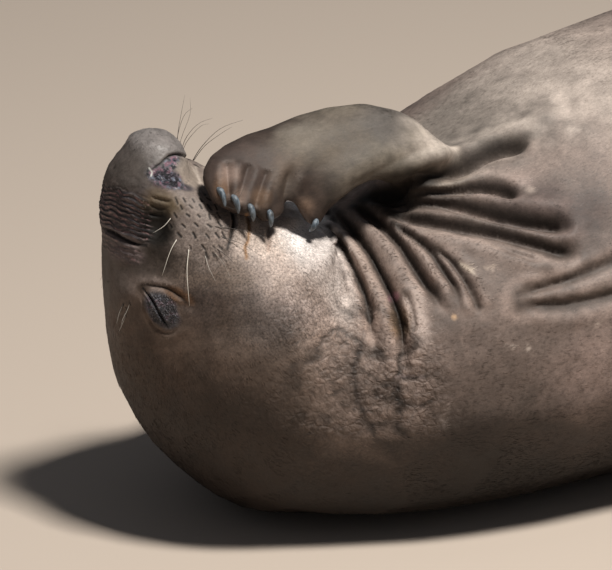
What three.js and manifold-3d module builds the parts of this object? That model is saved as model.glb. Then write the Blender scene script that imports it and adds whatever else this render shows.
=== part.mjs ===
import * as THREE from "three";
import { mergeVertices } from "three/addons/utils/BufferGeometryUtils.js";
import Module from "manifold-3d";

const wasm = await Module();
wasm.setup();

// A young male elephant seal lies on its back, millimetres, +X from head to tail, +Z up,
// with its own right side towards -Y. The floor is at z = 0.
const HEAD_TWIST = THREE.MathUtils.degToRad(18);
const HEAD_AXIS_X = 168;
const RINGS = 54;
const AROUND = 28;
const CENTRE = { x: 1485.2, y: 146.2 };
const NOSE_DOME = 58;
const TAIL_DOME = 150;
const GAP = 0.6;
const WALL_REACH = 500;
const TRUNK_CUTS = [346, 1000, 1900];
const HOLLOW = 1.2;
const CLAW_LENGTH = 28;
const CLAW_WIDTH = 9;
const CLAW_ROOT = 0.91;
const CLAW_FREE = 9;
const EYE = { x: 81, y: 88, z: 329, radius: 27 };
const TAIL = { start: 2540, length: 150, width: 30, thick: 20, z: 84 };

// Stations from the nose tip to the tail. x and z place the middle of a section, turn tips it
// from upright across the trunk (0) to level across the head (90), back and belly are its
// reaches from the middle, side is its half width, and egg narrows (-) or fills (+) its back.
const STATIONS = [
  { x: 82, z: 536, turn: 90, back: 40, belly: 42, side: 46, egg: 0, flat: 2 },
  { x: 84, z: 510, turn: 90, back: 43, belly: 44, side: 52, egg: 0, flat: 2 },
  { x: 82, z: 490, turn: 90, back: 51, belly: 52, side: 60, egg: 0, flat: 2 },
  { x: 90, z: 475, turn: 86, back: 66, belly: 44, side: 67, egg: -0.05, flat: 2 },
  { x: 112, z: 460, turn: 84, back: 90, belly: 42, side: 80, egg: -0.12, flat: 2 },
  { x: 132, z: 440, turn: 86, back: 112, belly: 53, side: 94, egg: -0.18, flat: 2 },
  { x: 147, z: 416, turn: 89, back: 127, belly: 90, side: 112, egg: -0.2, flat: 2 },
  { x: 158, z: 389, turn: 88, back: 138, belly: 134, side: 132, egg: -0.2, flat: 2 },
  { x: 156, z: 358, turn: 81, back: 138, belly: 168, side: 150, egg: -0.16, flat: 2.1 },
  { x: 164, z: 324, turn: 69, back: 150, belly: 168, side: 162, egg: -0.12, flat: 2.1 },
  { x: 180, z: 286, turn: 55, back: 176, belly: 164, side: 178, egg: -0.06, flat: 2.1 },
  { x: 216, z: 238, turn: 35, back: 198, belly: 165, side: 196, egg: 0, flat: 2.2 },
  { x: 270, z: 210, turn: 15, back: 206, belly: 172, side: 226, egg: 0, flat: 2.3 },
  { x: 338, z: 204, turn: 0, back: 207, belly: 190, side: 258, egg: 0, flat: 2.5 },
  { x: 430, z: 216, turn: 0, back: 219, belly: 222, side: 284, egg: 0, flat: 2.6 },
  { x: 520, z: 228, turn: 0, back: 231, belly: 238, side: 296, egg: 0, flat: 2.6 },
  { x: 620, z: 242, turn: 0, back: 245, belly: 268, side: 302, egg: 0, flat: 2.6 },
  { x: 750, z: 254, turn: 0, back: 257, belly: 292, side: 308, egg: 0, flat: 2.6 },
  { x: 950, z: 260, turn: 0, back: 263, belly: 300, side: 314, egg: 0, flat: 2.6 },
  { x: 1200, z: 252, turn: 0, back: 255, belly: 298, side: 308, egg: 0, flat: 2.6 },
  { x: 1500, z: 234, turn: 0, back: 237, belly: 276, side: 286, egg: 0, flat: 2.6 },
  { x: 1800, z: 204, turn: 0, back: 207, belly: 240, side: 250, egg: 0, flat: 2.5 },
  { x: 2100, z: 164, turn: 0, back: 167, belly: 190, side: 210, egg: 0, flat: 2.4 },
  { x: 2350, z: 122, turn: 0, back: 125, belly: 138, side: 154, egg: 0, flat: 2.2 },
  { x: 2500, z: 92, turn: 0, back: 94, belly: 92, side: 104, egg: 0, flat: 2.1 },
  { x: 2630, z: 78, turn: 0, back: 60, belly: 54, side: 62, egg: 0, flat: 2 },
];

// Distance along the stations, and a monotone cubic through any of their sizes
function distances(stations) {
  const along = [0];
  for (let i = 1; i < stations.length; i++) {
    const step = Math.hypot(stations[i].x - stations[i - 1].x, stations[i].z - stations[i - 1].z);
    along.push(along[i - 1] + step);
  }
  return along;
}

function smoothThrough(along, values) {
  const slopes = values.map((value, i) => {
    if (i === 0 || i === values.length - 1) return 0;
    const before = (value - values[i - 1]) / (along[i] - along[i - 1]);
    const after = (values[i + 1] - value) / (along[i + 1] - along[i]);
    return before * after <= 0 ? 0 : (2 * before * after) / (before + after);
  });
  return (at) => {
    let i = 0;
    while (i < along.length - 2 && at > along[i + 1]) i++;
    const span = along[i + 1] - along[i];
    const t = THREE.MathUtils.clamp((at - along[i]) / span, 0, 1);
    const early = (1 + 2 * t) * (1 - t) ** 2 * values[i] + t * (1 - t) ** 2 * span * slopes[i];
    const late = t * t * (3 - 2 * t) * values[i + 1] + t * t * (t - 1) * span * slopes[i + 1];
    return early + late;
  };
}

const ALONG = distances(STATIONS);
const LENGTH = ALONG[ALONG.length - 1];
const SIZE = {};
for (const key of Object.keys(STATIONS[0])) {
  SIZE[key] = smoothThrough(ALONG, STATIONS.map((station) => station[key]));
}

const power = (value, exponent) => Math.sign(value) * Math.abs(value) ** exponent;

function domed(distance, depth) {
  const t = Math.min(1, distance / depth);
  return Math.sqrt(1 - (1 - t) ** 2);
}

function bodyPoint(share, angle) {
  const at = share * LENGTH;
  const size = {};
  for (const key of Object.keys(SIZE)) size[key] = SIZE[key](at);
  const close = domed(at, NOSE_DOME) * domed(LENGTH - at, TAIL_DOME);
  const turn = THREE.MathUtils.degToRad(size.turn);
  const c = Math.cos(angle);
  const s = Math.sin(angle);
  const flat = c > 0 ? size.flat : 2.1;
  const reach = (c > 0 ? size.back : size.belly) * power(c, 2 / flat) * close;
  const wide = size.side * power(s, 2 / flat) * (1 + size.egg * c) * close;
  const x = size.x - Math.sin(turn) * reach;
  const z = size.z - Math.cos(turn) * reach;
  return headPlace(x, -wide, z, THREE.MathUtils.smoothstep(size.turn, 10, 80));
}

// Twists a point of the head about its upright axis, and follows the trunk's curve in plan
function headPlace(x, y, z, twist) {
  const yaw = HEAD_TWIST * twist;
  const dx = x - HEAD_AXIS_X;
  return new THREE.Vector3(
    HEAD_AXIS_X + dx * Math.cos(yaw) + y * Math.sin(yaw),
    -dx * Math.sin(yaw) + y * Math.cos(yaw) + planBend(x),
    z
  );
}

function planBend(x) {
  const t = Math.max(0, x - 450);
  return t < 700 ? (0.16 * t * t) / 1400 : 0.16 * (t - 350);
}

// A closed skin over rings of points: share runs from end to end, angle goes round
function closedSkin(rings, around, pointAt, spacing = (share) => share) {
  const geometry = new THREE.CylinderGeometry(1, 1, 1, around, rings, true);
  const position = geometry.attributes.position;
  for (let i = 0; i <= rings; i++) {
    for (let j = 0; j <= around; j++) {
      const p = pointAt(spacing(i / rings), (2 * Math.PI * (j % around)) / around);
      position.setXYZ(i * (around + 1) + j, p.x, p.y, p.z);
    }
  }
  return joined(geometry);
}

// One vertex at each place, no triangle that has shrunk to a line, and every face turned out
function joined(geometry) {
  geometry.deleteAttribute("normal");
  geometry.deleteAttribute("uv");
  const merged = mergeVertices(geometry, 1e-4);
  const corners = [0, 1, 2].map(() => new THREE.Vector3());
  const kept = [];
  let volume = 0;
  for (let i = 0; i < merged.index.count; i += 3) {
    const [a, b, c] = [0, 1, 2].map((corner) => merged.index.getX(i + corner));
    if (a === b || b === c || c === a) continue;
    kept.push([a, b, c]);
    [a, b, c].forEach((at, k) => corners[k].fromBufferAttribute(merged.attributes.position, at));
    volume += corners[0].dot(corners[1].cross(corners[2]));
  }
  merged.setIndex(kept.flatMap(([a, b, c]) => (volume > 0 ? [a, b, c] : [a, c, b])));
  return merged;
}

// The same skin a little larger, for the hollow it sits in
function grown(skin, amount = GAP) {
  const larger = skin.clone();
  larger.computeVertexNormals();
  const { position, normal } = larger.attributes;
  for (let i = 0; i < position.count; i++) {
    const p = new THREE.Vector3().fromBufferAttribute(normal, i).multiplyScalar(amount);
    p.add(new THREE.Vector3().fromBufferAttribute(position, i));
    position.setXYZ(i, p.x, p.y, p.z);
  }
  return larger;
}

// Rings lie close together on the head, far apart along the trunk and close again at its end
function bodySpacing(share) {
  const head = 0.66;
  const headLength = 0.27;
  if (share < head) {
    const t = share / head;
    return headLength * (0.6 * t + 0.4 * t * t);
  }
  const t = (share - head) / (1 - head);
  return headLength + (1 - headLength) * (0.78 * t + 1.06 * t * t - 0.84 * t ** 3);
}

// A flipper lies between the curves of its leading and trailing edges, root to tips
function flipperReach(flipper, across) {
  let reach = flipper.web;
  for (const digit of flipper.digits) {
    reach = Math.max(reach, digit.reach - ((across - digit.at) / flipper.webWidth) ** 2);
  }
  return reach;
}

function flipperFrame(flipper, across, along) {
  const reach = along * flipperReach(flipper, across);
  const lead = flipper.lead.getPoint(reach);
  const trail = flipper.trail.getPoint(reach);
  const share = (across + 1) / 2;
  const onward = flipper.lead.getTangent(reach).lerp(flipper.trail.getTangent(reach), share);
  onward.normalize();
  const side = trail.clone().sub(lead).normalize();
  const up = side.clone().cross(onward).normalize().multiplyScalar(flipper.faces);
  const middle = lead.lerp(trail, share);
  middle.addScaledVector(up, flipper.crown(reach) * (1 - across * across));
  return { middle, up, onward };
}

function flipperThickness(flipper, across, along, dorsal) {
  let thick = flipper.thick(along) * (1 - across * across) ** 0.4;
  if (!dorsal) return thick;
  for (const digit of flipper.digits) {
    const near = Math.exp(-(((across - digit.at) / flipper.digitWidth) ** 2));
    thick += flipper.ridge * near * THREE.MathUtils.smoothstep(along, 0.6, 0.85);
  }
  return thick;
}

function flipperSkin(flipper) {
  return closedSkin(flipper.rings, flipper.around, (share, angle) => {
    const across = -Math.cos(angle);
    const dorsal = Math.sin(angle) >= 0;
    const along = 1 - (1 - share) ** 1.5;
    const ends = domed(share, 0.06) * domed(1 - share, flipper.tipRound);
    const thick = flipperThickness(flipper, across, along, dorsal) * ends;
    const frame = flipperFrame(flipper, across, along);
    return frame.middle.addScaledVector(frame.up, dorsal ? thick : -thick);
  });
}

const curve = (points) => new THREE.CatmullRomCurve3(points.map((p) => new THREE.Vector3(...p)));

const FORE = {
  thick: smoothThrough([0, 0.15, 0.3, 0.45, 0.6, 0.8, 1], [40, 44, 44, 34, 25, 17, 11]),
  crown: smoothThrough([0, 0.4, 0.6, 0.8, 1], [0, 4, 10, 15, 17]),
  digits: [
    { at: -0.9, reach: 0.95 }, { at: -0.74, reach: 0.98 }, { at: -0.5, reach: 1 },
    { at: -0.12, reach: 0.98 }, { at: 0.86, reach: 0.88 },
  ],
  webWidth: 0.9, web: 0.8, digitWidth: 0.13, ridge: 5, rings: 16, around: 26, tipRound: 0.12,
};

const RIGHT_FORE = {
  ...FORE,
  lead: curve([
    [500, -90, 330], [462, -52, 392], [424, -22, 462], [382, -8, 508],
    [344, -4, 522], [298, 4, 522], [236, -2, 514], [182, -20, 517],
    [138, -38, 509], [115, -64, 493], [116, -84, 474], [122, -95, 457],
  ]),
  trail: curve([
    [540, -140, 300], [504, -126, 362], [462, -112, 412], [425, -108, 452],
    [388, -110, 468], [351, -109, 473], [321, -106, 463], [301, -101, 449],
    [283, -95, 435], [272, -93, 420], [264, -91, 408], [260, -89, 395],
  ]),
  faces: -1,
};

// The left one lies back along the far flank
const LEFT_FORE = {
  ...FORE,
  crown: smoothThrough([0, 1], [0, 4]),
  digits: [
    { at: -0.9, reach: 1 }, { at: -0.5, reach: 0.99 }, { at: -0.05, reach: 0.97 },
    { at: 0.4, reach: 0.94 }, { at: 0.85, reach: 0.9 },
  ],
  web: 0.89,
  lead: curve([
    [540, 150, 330], [600, 240, 380], [670, 296, 392], [740, 320, 388], [810, 334, 376],
    [880, 344, 358], [940, 352, 332],
  ]),
  trail: curve([
    [560, 200, 200], [610, 290, 236], [670, 336, 252], [730, 350, 258], [790, 358, 256],
    [850, 362, 250], [905, 364, 246],
  ]),
  rings: 12, around: 20, faces: -1,
};

function hindFlipper(side) {
  const placed = (points) => curve(points.map(([x, y, z]) => [x, side * y + planBend(x), z]));
  return {
    thick: smoothThrough([0, 0.3, 0.6, 0.85, 1], [44, 32, 20, 11, 8]),
    crown: smoothThrough([0, 1], [0, 3]),
    digits: [
      { at: -0.92, reach: 1 }, { at: -0.5, reach: 0.92 }, { at: 0, reach: 0.88 },
      { at: 0.5, reach: 0.91 }, { at: 0.92, reach: 0.98 },
    ],
    webWidth: 0.8, web: 0.8, digitWidth: 0.16, ridge: 4, rings: 12, around: 18, tipRound: 0.1,
    lead: placed([
      [2420, 62, 112], [2520, 92, 100], [2620, 112, 80], [2710, 132, 58], [2800, 168, 38],
      [2890, 214, 22], [2950, 250, 13],
    ]),
    trail: placed([
      [2420, 14, 104], [2520, 24, 96], [2620, 34, 74], [2710, 34, 52], [2800, 28, 34],
      [2890, 20, 20], [2950, 14, 12],
    ]),
    faces: side,
  };
}

// A claw is a bent, pointed blade along the back of its digit's end
function clawSkin(flipper, digit) {
  const root = flipperFrame(flipper, digit.at, CLAW_ROOT);
  const end = flipperFrame(flipper, digit.at, 1);
  const thick = flipperThickness(flipper, digit.at, CLAW_ROOT, true);
  const side = root.up.clone().cross(root.onward).normalize();
  const bed = root.middle.clone().addScaledVector(root.up, 0.8 * thick);
  const bend = root.middle.clone().addScaledVector(root.up, thick + 8);
  bend.addScaledVector(root.onward, 0.5 * CLAW_LENGTH);
  const tip = end.middle.clone().addScaledVector(root.up, 0.5 * thick);
  tip.addScaledVector(root.onward, CLAW_FREE);
  const spine = new THREE.QuadraticBezierCurve3(bed, bend, tip);
  return closedSkin(5, 5, (share, angle) => {
    const size = 0.5 * CLAW_WIDTH * domed(share, 0.3) * (1 - share ** 2.2);
    const point = spine.getPoint(share).addScaledVector(root.up, size * Math.sin(angle));
    return point.addScaledVector(side, size * Math.cos(angle));
  });
}

function eyeSkin(side) {
  return closedSkin(8, 10, (share, angle) => {
    const ring = EYE.radius * Math.sin(Math.PI * share);
    const x = EYE.x + ring * Math.cos(angle);
    const y = side * EYE.y + ring * Math.sin(angle);
    return headPlace(x, y, EYE.z + EYE.radius * Math.cos(Math.PI * share), 1);
  });
}

function tailSkin() {
  return closedSkin(6, 10, (share, angle) => {
    const x = TAIL.start + share * TAIL.length;
    const round = domed(share, 0.2) * domed(1 - share, 0.35);
    const y = TAIL.width * (1 - 0.4 * share) * round * Math.sin(angle);
    const z = TAIL.z - 18 * share + TAIL.thick * round * Math.cos(angle);
    return new THREE.Vector3(x, planBend(x) + y, z);
  });
}

// A skin as a solid for the cuts
function solid(geometry) {
  const vertProperties = new Float32Array(geometry.attributes.position.array);
  const triVerts = new Uint32Array(geometry.index.array);
  return new wasm.Manifold(new wasm.Mesh({ numProp: 3, vertProperties, triVerts }));
}

// A thin wall across the body, upright on a line in the head's or trunk's middle plane
function wall(line, twist) {
  const half = 0.5 * GAP;
  const above = [];
  const below = [];
  line.forEach(([x, z], i) => {
    const before = line[Math.max(0, i - 1)];
    const after = line[Math.min(line.length - 1, i + 1)];
    const run = new THREE.Vector2(after[0] - before[0], after[1] - before[1]).normalize();
    above.push(new THREE.Vector2(x - half * run.y, z + half * run.x));
    below.unshift(new THREE.Vector2(x + half * run.y, z - half * run.x));
  });
  const outline = new THREE.Shape([...above, ...below]);
  const geometry = new THREE.ExtrudeGeometry(outline, { depth: 2 * WALL_REACH, bevelEnabled: false });
  const position = geometry.attributes.position;
  for (let i = 0; i < position.count; i++) {
    const y = position.getZ(i) - WALL_REACH;
    const p = headPlace(position.getX(i), y, position.getY(i), twist);
    position.setXYZ(i, p.x, p.y, p.z);
  }
  return solid(joined(geometry));
}

function pieceNear(pieces, x, y, z) {
  const target = new THREE.Vector3(x, y, z);
  let best = null;
  let least = Infinity;
  for (const piece of pieces) {
    const box = piece.boundingBox();
    const middle = new THREE.Vector3(...box.min).add(new THREE.Vector3(...box.max)).multiplyScalar(0.5);
    const distance = middle.distanceTo(target);
    if (distance < least) {
      least = distance;
      best = piece;
    }
  }
  return best;
}

const largest = (made) => made.decompose().sort((a, b) => b.volume() - a.volume())[0];

const RIGHT_HIND = hindFlipper(-1);
const LEFT_HIND = hindFlipper(1);

const floorCut = new THREE.BoxGeometry(8000, 4000, 200);
floorCut.translate(1500, 0, -100);
const floor = solid(joined(floorCut));

const lipLine = [[140, 620], [140, 487], [155, 467], [172, 439], [166, 403]];
const walls = [
  wall(lipLine, 1),
  wall([[166, 403.5], [340, 430]], 1),
  wall([[166.3, 403], [-60, 416]], 1),
  wall([[322, 398], [-240, 74]], 0.8),
];
for (const x of TRUNK_CUTS) walls.push(wall([[x, -50], [x, 700]], 0));

const bodySkin = closedSkin(RINGS, AROUND, bodyPoint, bodySpacing);
const reserved = solid(grown(bodySkin)).add(floor);
let body = solid(bodySkin).subtract(floor);
for (const cut of walls) body = body.subtract(cut);

// Limbs and tail end at the trunk; the head holds the eyes, and each hand its claws
const pieces = body.decompose();
const near = (x, y, z) => pieceNear(pieces, x, y, z);
const limb = (skin) => largest(solid(skin).subtract(reserved));
const hollowed = (made, skins) => {
  return skins.reduce((left, skin) => left.subtract(solid(grown(skin, HOLLOW))), made);
};
const part = (made, x, y, z) => pieceNear(made.decompose(), x, y, z);

const rightFore = limb(flipperSkin(RIGHT_FORE)).subtract(wall([[344, 300], [344, 700]], 0));
const leftFore = limb(flipperSkin(LEFT_FORE)).subtract(wall([[752, 100], [752, 600]], 0));
const rightClaws = RIGHT_FORE.digits.map((digit) => clawSkin(RIGHT_FORE, digit));
const leftClaws = LEFT_FORE.digits.map((digit) => clawSkin(LEFT_FORE, digit));
const rightEye = eyeSkin(-1);
const leftEye = eyeSkin(1);

const solids = {
  head: hollowed(near(165, 0, 350), [rightEye, leftEye]),
  snout: near(90, 0, 470),
  lower_jaw: near(220, 0, 440),
  neck: near(200, 0, 200),
  chest: near(680, 0, 280),
  belly: near(1450, 80, 270),
  hips: near(2270, 260, 160),
  tail: limb(tailSkin()),
  arm_right: part(rightFore, 420, -60, 470),
  hand_right: hollowed(part(rightFore, 230, -60, 470), rightClaws),
  arm_left: part(leftFore, 660, 300, 320),
  hand_left: hollowed(part(leftFore, 850, 350, 320), leftClaws),
  hind_flipper_right: limb(flipperSkin(RIGHT_HIND)),
  hind_flipper_left: limb(flipperSkin(LEFT_HIND)),
  eye_right: solid(rightEye),
  eye_left: solid(leftEye),
};
rightClaws.forEach((claw, i) => { solids[`claw_right_${i + 1}`] = solid(claw); });
leftClaws.forEach((claw, i) => { solids[`claw_left_${i + 1}`] = solid(claw); });

const HIDE = { color: 0x6f6259, roughness: 0.75, metalness: 0 };
const PALE = { color: 0xa39484, roughness: 0.75, metalness: 0 };
const HORN = { color: 0x56626c, roughness: 0.35, metalness: 0 };
const DARK = { color: 0x1c1a1a, roughness: 0.15, metalness: 0 };

function finishOf(name) {
  if (name.startsWith("claw")) return HORN;
  if (name.startsWith("eye")) return DARK;
  return name === "lower_jaw" ? PALE : HIDE;
}

function meshOf(made) {
  const { vertProperties, triVerts } = made.getMesh();
  const geometry = new THREE.BufferGeometry();
  geometry.setAttribute("position", new THREE.BufferAttribute(new Float32Array(vertProperties), 3));
  geometry.setIndex(new THREE.BufferAttribute(new Uint32Array(triVerts), 1));
  return geometry.translate(-CENTRE.x, -CENTRE.y, 0);
}

const seal = new THREE.Group();
for (const [name, made] of Object.entries(solids)) {
  const mesh = new THREE.Mesh(meshOf(made), new THREE.MeshStandardMaterial(finishOf(name)));
  mesh.name = name;
  seal.add(mesh);
}

export default seal;
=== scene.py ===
"""A young elephant seal asleep on its back: skin, coat, whiskers, eyes, claws and stage."""

import functools
import itertools
import math

import bmesh
import bpy
import numpy as np
from bpy.props import FloatProperty, FloatVectorProperty, IntProperty, PointerProperty
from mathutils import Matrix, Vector
from mathutils.bvhtree import BVHTree


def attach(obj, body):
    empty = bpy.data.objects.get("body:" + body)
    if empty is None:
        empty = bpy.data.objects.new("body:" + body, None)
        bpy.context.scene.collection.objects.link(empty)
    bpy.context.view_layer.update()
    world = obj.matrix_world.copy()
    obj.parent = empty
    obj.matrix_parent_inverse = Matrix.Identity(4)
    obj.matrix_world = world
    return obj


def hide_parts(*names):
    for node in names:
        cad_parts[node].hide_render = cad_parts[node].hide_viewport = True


bl_info = {
    "name": "Resting Elephant Seal",
    "version": (1, 0, 0),
    "blender": (4, 5, 0),
    "location": "View3D > Sidebar > Seal",
    "description": "Skin, coat, whiskers, claws, eyes and stage of a resting elephant seal",
    "category": "Object",
}

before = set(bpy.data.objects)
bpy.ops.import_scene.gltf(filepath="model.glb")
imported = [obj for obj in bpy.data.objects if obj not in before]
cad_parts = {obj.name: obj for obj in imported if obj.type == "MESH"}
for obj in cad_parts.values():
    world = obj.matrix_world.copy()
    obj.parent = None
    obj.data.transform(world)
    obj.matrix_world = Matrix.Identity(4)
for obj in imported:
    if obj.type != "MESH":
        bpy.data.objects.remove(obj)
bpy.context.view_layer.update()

MM = 0.001
TRUNK = ("head", "snout", "lower_jaw", "neck", "chest", "belly", "hips", "tail")
LIMBS = {
    "arm_right": ("arm_right", "hand_right"),
    "arm_left": ("arm_left", "hand_left"),
    "hind_right": ("hind_flipper_right",),
    "hind_left": ("hind_flipper_left",),
}
FLESH = TRUNK + tuple(name for names in LIMBS.values() for name in names)
SIDES = ("right", "left")
ROOT_BODY = "root"

# The view: 612 x 570 pixels, each 1.3 mm wide at the aim's distance
VIEW_AZIMUTH = math.radians(-28)
VIEW_ELEVATION = math.radians(22)
VIEW_DISTANCE = 9.0
PIXEL = 1.3 * MM
PICTURE = (612, 570)
AIM_RIGHT = 0.264
AIM_UP = 0.322
AIM_BACK = 0.00675
# The head's end of the floor line, measured from the part's middle
ROW_SHIFT = Vector((1.4852, 0.1462, 0.0))
# The head's own mirror plane stands at this x, turned by this angle, and gives way to the
# trunk's bent middle between these x
HEAD_AXIS = 0.168
HEAD_TWIST = math.radians(18)
HEAD_ENDS = (0.2, 0.42)
# The trunk lies straight up to this x, bends over this length and then runs off at this slope
BEND_START = 0.45
BEND_LENGTH = 0.7
BEND_SLOPE = 0.16

BACK = Vector((
    math.sin(VIEW_AZIMUTH) * math.cos(VIEW_ELEVATION),
    -math.cos(VIEW_AZIMUTH) * math.cos(VIEW_ELEVATION),
    math.sin(VIEW_ELEVATION),
))
RIGHT = Vector((math.cos(VIEW_AZIMUTH), math.sin(VIEW_AZIMUTH), 0.0))
UP = BACK.cross(RIGHT)
AIM = RIGHT * AIM_RIGHT + UP * AIM_UP + BACK * AIM_BACK - ROW_SHIFT
EYE_POINT = AIM + BACK * VIEW_DISTANCE
SUN = Vector((0.12, -0.32, 0.92)).normalized()
SUN_DISTANCE = 5.0
SUN_SIZE = 0.8
SUN_COLOUR = (1.0, 0.96, 0.9)
SKY_COLOUR = (0.85, 0.9, 1.0, 1)
FLOOR_HALF_SIZE = 30
FILM_WIDTH = 36

# Middle line of the trunk from the nose tip to the tail, in mm from the head's end
TRUNK_LINE = (
    (88, 26, 535), (98, 22, 470), (146, 7, 425), (160, 3, 365), (182, -3, 290), (240, -8, 232),
    (330, 0, 206), (430, 0, 214), (620, 3, 242), (950, 29, 260), (1200, 64, 252), (1500, 112, 234),
    (1800, 160, 204), (2100, 208, 164), (2350, 248, 122), (2500, 272, 92), (2660, 296, 78),
)

# A point of the skin farther than this from the trunk's solids is on a limb that lies over them
COVER = 0.022
# Distance given to points that are out of a line's reach
FAR = 1e3
POINTS_AT_ONCE = 20000
NOISE_TABLE = 16
WEIGHT_LEVELS = 20


# Places on the animal, from pixels of the view

def sight(px, py):
    """Direction from the camera through a pixel."""
    across = RIGHT * ((px - PICTURE[0] / 2) * PIXEL)
    down = UP * ((PICTURE[1] / 2 - py) * PIXEL)
    return (across + down - BACK * VIEW_DISTANCE).normalized()


def view_pixels(points):
    """Pixels of the view that points fall on."""
    rel = points - np.array(EYE_POINT)
    size = VIEW_DISTANCE / (-(rel @ np.array(BACK)) * PIXEL)
    return np.stack([PICTURE[0] / 2 + (rel @ np.array(RIGHT)) * size,
                     PICTURE[1] / 2 - (rel @ np.array(UP)) * size], axis=1)


def smooth_path(points, steps=6):
    """Catmull-Rom points along a short list of 2-D or 3-D points."""
    pts = [np.array(p, float) for p in points]
    if len(pts) < 3:
        return [pts[0] + (pts[-1] - pts[0]) * t for t in np.linspace(0, 1, 2 * steps)]
    pts = [2 * pts[0] - pts[1]] + pts + [2 * pts[-1] - pts[-2]]
    path = []
    for a, b, c, d in zip(pts, pts[1:], pts[2:], pts[3:]):
        for t in np.arange(steps) / steps:
            path.append(0.5 * (2 * b + (c - a) * t + (2 * a - 5 * b + 4 * c - d) * t * t
                               + (3 * b - a - 3 * c + d) * t ** 3))
    return path + [pts[-2]]


def design(points):
    """Places measured from the head's end of the floor line."""
    return points + np.array(ROW_SHIFT)


def plan_bend(x):
    """How far the trunk's middle line lies to the left at x from the head's end."""
    t = np.maximum(x - BEND_START, 0)
    bending = BEND_SLOPE * t * t / (2 * BEND_LENGTH)
    return np.where(t < BEND_LENGTH, bending, BEND_SLOPE * (t - BEND_LENGTH / 2))


def turned(points, directions=False):
    """The same places, or directions, on the other half of the head."""
    c, s = math.cos(HEAD_TWIST), math.sin(HEAD_TWIST)
    shift = 0 if directions else 1
    dx = points[:, 0] + shift * (ROW_SHIFT.x - HEAD_AXIS)
    y = points[:, 1] + shift * ROW_SHIFT.y
    along, across = dx * c - y * s, -(dx * s + y * c)
    out = points.copy()
    out[:, 0] = along * c + across * s - shift * (ROW_SHIFT.x - HEAD_AXIS)
    out[:, 1] = -along * s + across * c - shift * ROW_SHIFT.y
    return out


def other_side(points):
    """The same places on the other half of the animal."""
    x = design(points)[:, 0]
    head = (1 - step(x, *HEAD_ENDS))[:, None]
    flat = points.copy()
    flat[:, 1] = 2 * (plan_bend(x) - ROW_SHIFT.y) - points[:, 1]
    return head * turned(points) + (1 - head) * flat


def near_side(points, directions):
    """Points of the far half carried to the near half, with their directions."""
    x, y = design(points).T[:2]
    head = 1 - step(x, *HEAD_ENDS)
    c, s = math.cos(HEAD_TWIST), math.sin(HEAD_TWIST)
    over = head * ((x - HEAD_AXIS) * s + y * c) + (1 - head) * (y - plan_bend(x))
    flat_turned = directions * (1, -1, 1)
    far = (over > 0)[:, None]
    h = head[:, None]
    facing = h * turned(directions, True) + (1 - h) * flat_turned
    return np.where(far, other_side(points), points), np.where(far, facing, directions)


# Numbers over many points

def step(values, low, high):
    """Smooth rise from 0 to 1 between two values."""
    t = np.clip((values - low) / (high - low), 0, 1)
    return t * t * (3 - 2 * t)


def bell(distance, width):
    """1 on a line, falling off to both sides."""
    return np.exp(-np.minimum(np.abs(distance) / width, 9.0) ** 2)


def clouds(points, size, seed, octaves=3):
    """Smooth noise between -1 and 1."""
    rng = np.random.default_rng(seed)
    total = np.zeros(len(points))
    for octave in range(octaves):
        table = rng.uniform(-1, 1, (NOISE_TABLE,) * 3)
        cell = points / size * 2 ** octave
        base = np.floor(cell).astype(int)
        t = cell - base
        t = t * t * (3 - 2 * t)
        for corner in itertools.product((0, 1), repeat=3):
            share = np.prod(np.where(corner, t, 1 - t), axis=1)
            i, j, k = ((base + corner) % NOISE_TABLE).T
            total += share * table[i, j, k] / 2 ** octave
    return total


def oval(pix, middle, sizes, turn=0.0):
    """Distance from an oval's middle in the view, 1 at its edge."""
    c, s = math.cos(math.radians(turn)), math.sin(math.radians(turn))
    dx, dy = pix[:, 0] - middle[0], pix[:, 1] - middle[1]
    return np.hypot((dx * c + dy * s) / sizes[0], (dy * c - dx * s) / sizes[1])


def within(pix, *areas):
    """Whether each pixel lies in one of some ovals of the view."""
    return np.any([oval(pix, *area) < 1 for area in areas], axis=0)


def inside(pix, area, low, high, wander=0.0):
    """1 in an oval of the view, falling to 0 between two shares of its radius."""
    return 1 - step(oval(pix, *area) + wander, low, high)


def paint(tint, weight, colour):
    """Mixes a colour into the colours of many points."""
    tint += weight[:, None] * (np.array(colour) - tint)


def paint_patches(tint, pix, patches, weight, wobble):
    """Paints a table of soft ovals with uneven edges."""
    for middle, sizes, turn, colour, strength, soft in patches:
        distance = oval(pix, middle, sizes, turn) + wobble * min(1, soft * 2.2)
        paint(tint, strength * weight * (1 - step(distance, 1 - soft, 1 + soft)), colour)


def blend(one, other, share):
    """Colours between two, by the share of the other."""
    share = share[:, None]
    return np.array(one) * (1 - share) + np.array(other) * share


def crumpled(points):
    """Loose skin in crumples: 0 in thin winding valleys, about 0.5 on the ridges."""
    lean = points * np.array((1.0, 0.8, 1.4))
    wide, small = np.abs(clouds(lean, 0.04, 41, 2)), np.abs(clouds(lean, 0.018, 42, 2))
    return np.minimum(wide, 0.35) + 0.5 * np.minimum(small, 0.3)


def reach(points, line, limit):
    """How far each point is from a line of points, within a limit, and its share along the line."""
    distance = np.full(len(points), FAR)
    along = np.zeros(len(points))
    near = np.all((points > line.min(0) - limit) & (points < line.max(0) + limit), axis=1)
    index = np.flatnonzero(near)
    if not len(index):
        return distance, along
    local = points[index]
    best = np.full(len(index), FAR)
    place = np.zeros(len(index))
    steps = np.linalg.norm(np.diff(line, axis=0), axis=1)
    total = max(steps.sum(), 1e-9)
    start = 0.0
    for a, b, length in zip(line, line[1:], steps):
        if length < 1e-9:
            continue
        t = np.clip(((local - a) @ (b - a)) / length ** 2, 0, 1)
        d = np.linalg.norm(local - a - t[:, None] * (b - a), axis=1)
        closer = d < best
        best[closer] = d[closer]
        place[closer] = (start + t[closer] * length) / total
        start += length
    distance[index] = best
    along[index] = place
    return distance, along


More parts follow.
